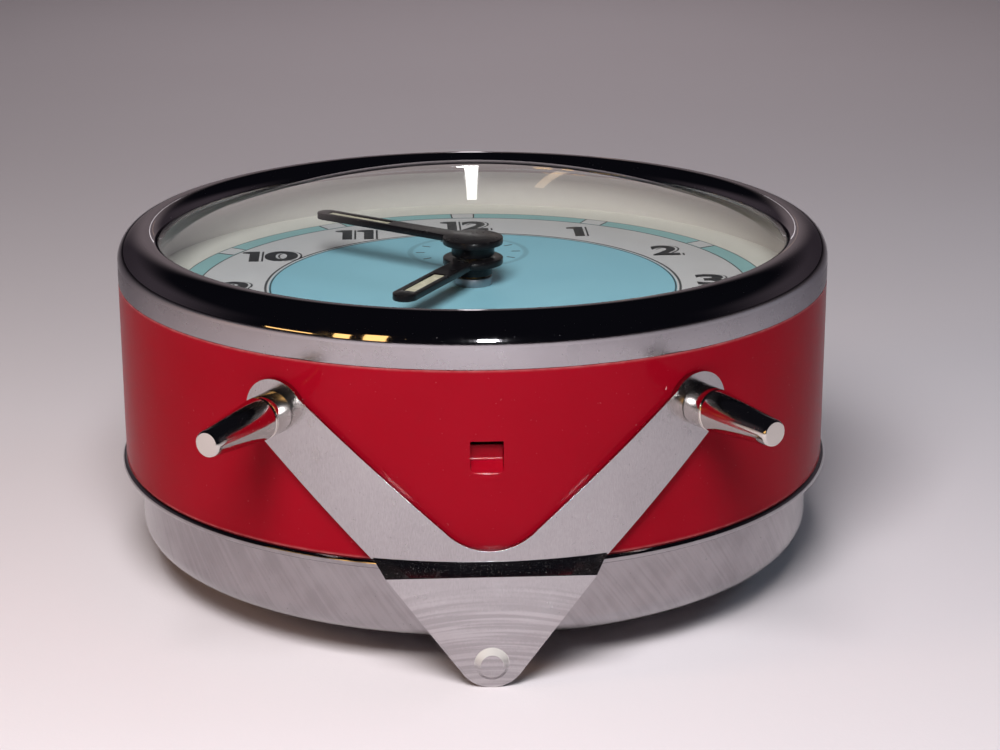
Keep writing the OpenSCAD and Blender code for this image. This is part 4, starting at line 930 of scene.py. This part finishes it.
def bars_tree():
    tree = bpy.data.node_groups.new("bars_round_a_circle", "GeometryNodeTree")
    tree.interface.new_socket("Geometry", in_out="OUTPUT", socket_type="NodeSocketGeometry")
    for name, kind in INPUTS.items():
        tree.interface.new_socket(name, in_out="INPUT", socket_type="NodeSocket" + kind)
    add = tree.nodes.new
    given, result = add("NodeGroupInput").outputs, add("NodeGroupOutput")
    circle, bar = add("GeometryNodeMeshCircle"), add("GeometryNodeMeshCube")
    size = add("ShaderNodeCombineXYZ")
    index, turn, share = add("GeometryNodeInputIndex"), add("ShaderNodeMath"), add("ShaderNodeMath")
    euler, to_turn = add("ShaderNodeCombineXYZ"), add("FunctionNodeEulerToRotation")
    on_points, real = add("GeometryNodeInstanceOnPoints"), add("GeometryNodeRealizeInstances")
    start, move = add("ShaderNodeCombineXYZ"), add("GeometryNodeTransform")
    paint = add("GeometryNodeSetMaterial")
    share.operation, turn.operation = "DIVIDE", "MULTIPLY"
    share.inputs[0].default_value = 2 * math.pi
    wires = [(given["Count"], circle.inputs["Vertices"]), (given["Radius"], circle.inputs["Radius"]),
             (given["Length"], size.inputs[0]), (given["Width"], size.inputs[1]),
             (given["Thickness"], size.inputs[2]), (size.outputs[0], bar.inputs["Size"]),
             (given["Count"], share.inputs[1]), (index.outputs[0], turn.inputs[0]),
             (share.outputs[0], turn.inputs[1]), (turn.outputs[0], euler.inputs[2]),
             (euler.outputs[0], to_turn.inputs[0]), (circle.outputs[0], on_points.inputs["Points"]),
             (bar.outputs[0], on_points.inputs["Instance"]),
             (to_turn.outputs[0], on_points.inputs["Rotation"]),
             (on_points.outputs[0], real.inputs[0]), (real.outputs[0], move.inputs["Geometry"]),
             (given["Centre"], move.inputs["Translation"]), (given["Start"], start.inputs[2]),
             (start.outputs[0], move.inputs["Rotation"]), (move.outputs[0], paint.inputs["Geometry"]),
             (given["Finish"], paint.inputs["Material"]), (paint.outputs[0], result.inputs[0])]
    for a, b in wires:
        tree.links.new(a, b)
    return tree


BARS = bars_tree()
print("a tree of", len(BARS.nodes), "nodes")

# %% [markdown]
# The tree is put on an empty mesh as a modifier and its inputs are set by the sockets' identifiers, before
# anything is evaluated. What it makes is copied to a plain mesh, so no modifier is left in the scene.

# %% Hour blocks and alarm strokes
BLOCK_R, BLOCK_LONG, BLOCK_WIDE, BLOCK_T = 39.95, 2.4, 3.4, 0.02
SIDE_WIDE, SIDE_T, SIDE_TURN = 0.22, 0.03, 2.45
ALARM_STROKE_R, ALARM_STROKE_LONG, ALARM_STROKE_WIDE = 7.0, 1.3, 0.28


def grown(name, tree, **inputs):
    """The plain mesh that a tree makes from its named inputs."""
    empty = bpy.data.objects.new(name, bpy.data.meshes.new(name))
    bpy.context.scene.collection.objects.link(empty)
    grow = empty.modifiers.new("grow", "NODES")
    grow.node_group = tree
    for item in tree.interface.items_tree:
        if item.in_out == "INPUT":
            grow[item.identifier] = inputs[item.name]
    mesh = bpy.data.meshes.new_from_object(empty.evaluated_get(bpy.context.evaluated_depsgraph_get()))
    bpy.data.objects.remove(empty)
    mesh.name = name
    return mesh


def bars(name, finish, radius, length, width, thick, start=0.0, centre=(0, 0)):
    """Twelve bars on the dial, round a centre."""
    mesh = grown(name, BARS, Count=12, Radius=radius * MM, Length=length * MM, Width=width * MM,
                 Thickness=thick * MM, Start=math.radians(start),
                 Centre=(centre[0] * MM, centre[1] * MM, (DIAL_TOP + thick / 2) * MM), Finish=finish.material)
    return piece(name, mesh, body="case", slot="printed_dial")


bars("hour_blocks", PAPER, BLOCK_R, BLOCK_LONG, BLOCK_WIDE, BLOCK_T)
bars("hour_block_sides_a", INK, BLOCK_R, BLOCK_LONG, SIDE_WIDE, SIDE_T, start=SIDE_TURN)
bars("hour_block_sides_b", INK, BLOCK_R, BLOCK_LONG, SIDE_WIDE, SIDE_T, start=-SIDE_TURN)
bars("alarm_strokes", INK, ALARM_STROKE_R, ALARM_STROKE_LONG, ALARM_STROKE_WIDE, BLOCK_T, centre=ALARM_AT)
print("hour blocks and alarm strokes are set")

# %% [markdown]
# ## Floor
# The clock lies on a plain pale floor. A plane that runs out to the horizon needs no backdrop, and a cloud in
# its tone keeps it from looking like a flat card. It is quite matt, so no lamp is mirrored in it.

# %% Floor
FLOOR_REACH = 6.0
ground = Finish("pale_floor", Specular_IOR_Level=0.0)
at = place(ground)
cloud = noise(ground, at, 0.006, 3)
ground.show(Base_Color=blend(ground, cloud, (0.76, 0.71, 0.73), (0.82, 0.78, 0.80)),
            Roughness=0.7 + cloud * 0.15,
            Normal=bump(ground, noise(ground, at, 2.0, 2), 0.02))
mesh = bpy.data.meshes.new("floor")
corners = [(x * FLOOR_REACH, y * FLOOR_REACH, 0) for x, y in ((-1, -1), (1, -1), (1, 1), (-1, 1))]
mesh.from_pydata(corners, [], [(0, 1, 2, 3)])
mesh.materials.append(ground.material)
floor = bpy.data.objects.new("floor", mesh)
bpy.context.scene.collection.objects.link(floor)
print("floor", 2 * FLOOR_REACH, "m wide")

# %% [markdown]
# ## Room
# Chrome shows the room. The reflections in the bezel say that it is dark above and in front and pale behind:
# the front of the rim looks black, and the skirt, which shows the floor, looks pale. A picture of a studio
# could surround the clock, but a few sums say the same: the world is a pale band behind the clock, palest in
# the middle, that fades to dark above it, beside it and in front.

# %% Room
PALE, DIM, DARK = (0.47, 0.40, 0.40), (0.085, 0.070, 0.082), (0.006, 0.006, 0.009)
BAND_FADE = [math.sin(math.radians(degrees)) for degrees in (14, 32)]
SIDE_FADE, BACK_FADE = (0.08, 0.40), (-0.35, 0.55)
room = Room("room")
x, y, z = parts(room, room.add("ShaderNodeTexCoord", output="Generated"))
low = blend(room, step(room, abs(x), *SIDE_FADE), PALE, DIM)
wall = blend(room, step(room, z, *BAND_FADE), low, DARK)
room.show(Color=blend(room, step(room, y, *BACK_FADE), DARK, wall))
bpy.context.scene.world = room.material
print("the room is pale low down at the back, and dark above and in front")

# %% [markdown]
# ## Lamps
# Four soft lamps give the plain light: a large one in front, a weaker one for the floor behind, and a warm
# and a cool one at the sides. They are left out of reflections, so the chrome doesn't show them as white
# cards. Six small lamps are there for the opposite: warm glints on the front of the bezel, a white one in
# front for the lanced tab and the legs, and two tall strips far behind for the streaks on the crystal.

# %% Lamps
MIDDLE, HIGH_MIDDLE = (0, 0, 0.03), (0, 0, 0.04)
GLINT_FAR, GLINT_LEVEL, GOLD = 0.58, 11.0, (1.0, 0.60, 0.20)


def lamp(name, spot, aim, wide, tall, watts, colour, glossy=True, diffuse=True):
    """A flat lamp at spot, facing aim, in metres. It can be left out of reflections, or only light them."""
    light = bpy.data.lights.new(name, "AREA")
    light.shape, light.size, light.size_y, light.energy, light.color = "RECTANGLE", wide, tall, watts, colour
    made = bpy.data.objects.new(name, light)
    made.location = spot
    made.rotation_euler = (Vector(aim) - Vector(spot)).to_track_quat("-Z", "Y").to_euler()
    made.visible_glossy, made.visible_diffuse = glossy, diffuse
    bpy.context.scene.collection.objects.link(made)


lamp("front_soft", (-0.045, -0.245, 0.29), (0, -0.03, 0), 0.16, 0.16, 1.50, (1.0, 0.97, 0.985), glossy=False)
lamp("back_soft", (0.03, 0.46, 0.30), (0.03, 0.44, 0), 0.30, 0.30, 0.26, (1.0, 0.88, 0.92), glossy=False)
lamp("warm_left", (-0.30, -0.10, 0.15), MIDDLE, 0.08, 0.08, 0.14, (1.0, 0.62, 0.38), glossy=False)
lamp("cool_right", (0.30, 0.05, 0.20), MIDDLE, 0.10, 0.10, 0.10, (0.62, 0.82, 1.0), glossy=False)
for name, azimuth, height, wide, tall in (("warm_glint_a", 148, 0.070, 0.16, 0.03),
                                          ("warm_glint_b", 131, 0.100, 0.05, 0.14),
                                          ("warm_glint_c", 121, 0.125, 0.07, 0.20)):
    turn = math.radians(azimuth)
    lamp(name, (GLINT_FAR * math.cos(turn), -GLINT_FAR * math.sin(turn), height), HIGH_MIDDLE, wide, tall,
         GLINT_LEVEL * wide * tall, GOLD, diffuse=False)
lamp("front_glint", (0.018, -0.62, 0.14), HIGH_MIDDLE, 0.05, 0.08, 1.5, (0.95, 0.97, 1.0), diffuse=False)
lamp("far_streak", (0.043, 1.1, 0.30), (0, 0, 0.05), 0.014, 0.44, 0.06, (1.0, 0.99, 0.97))
lamp("far_warm", (0.130, 1.1, 0.24), (0, 0, 0.05), 0.012, 0.26, 0.006, (1.0, 0.72, 0.45))
print(len(bpy.data.lights), "lamps")

# %% [markdown]
# ## Look
# The colours are shown as they are, without a film look.

# %% Look
bpy.context.scene.view_settings.view_transform = "Standard"
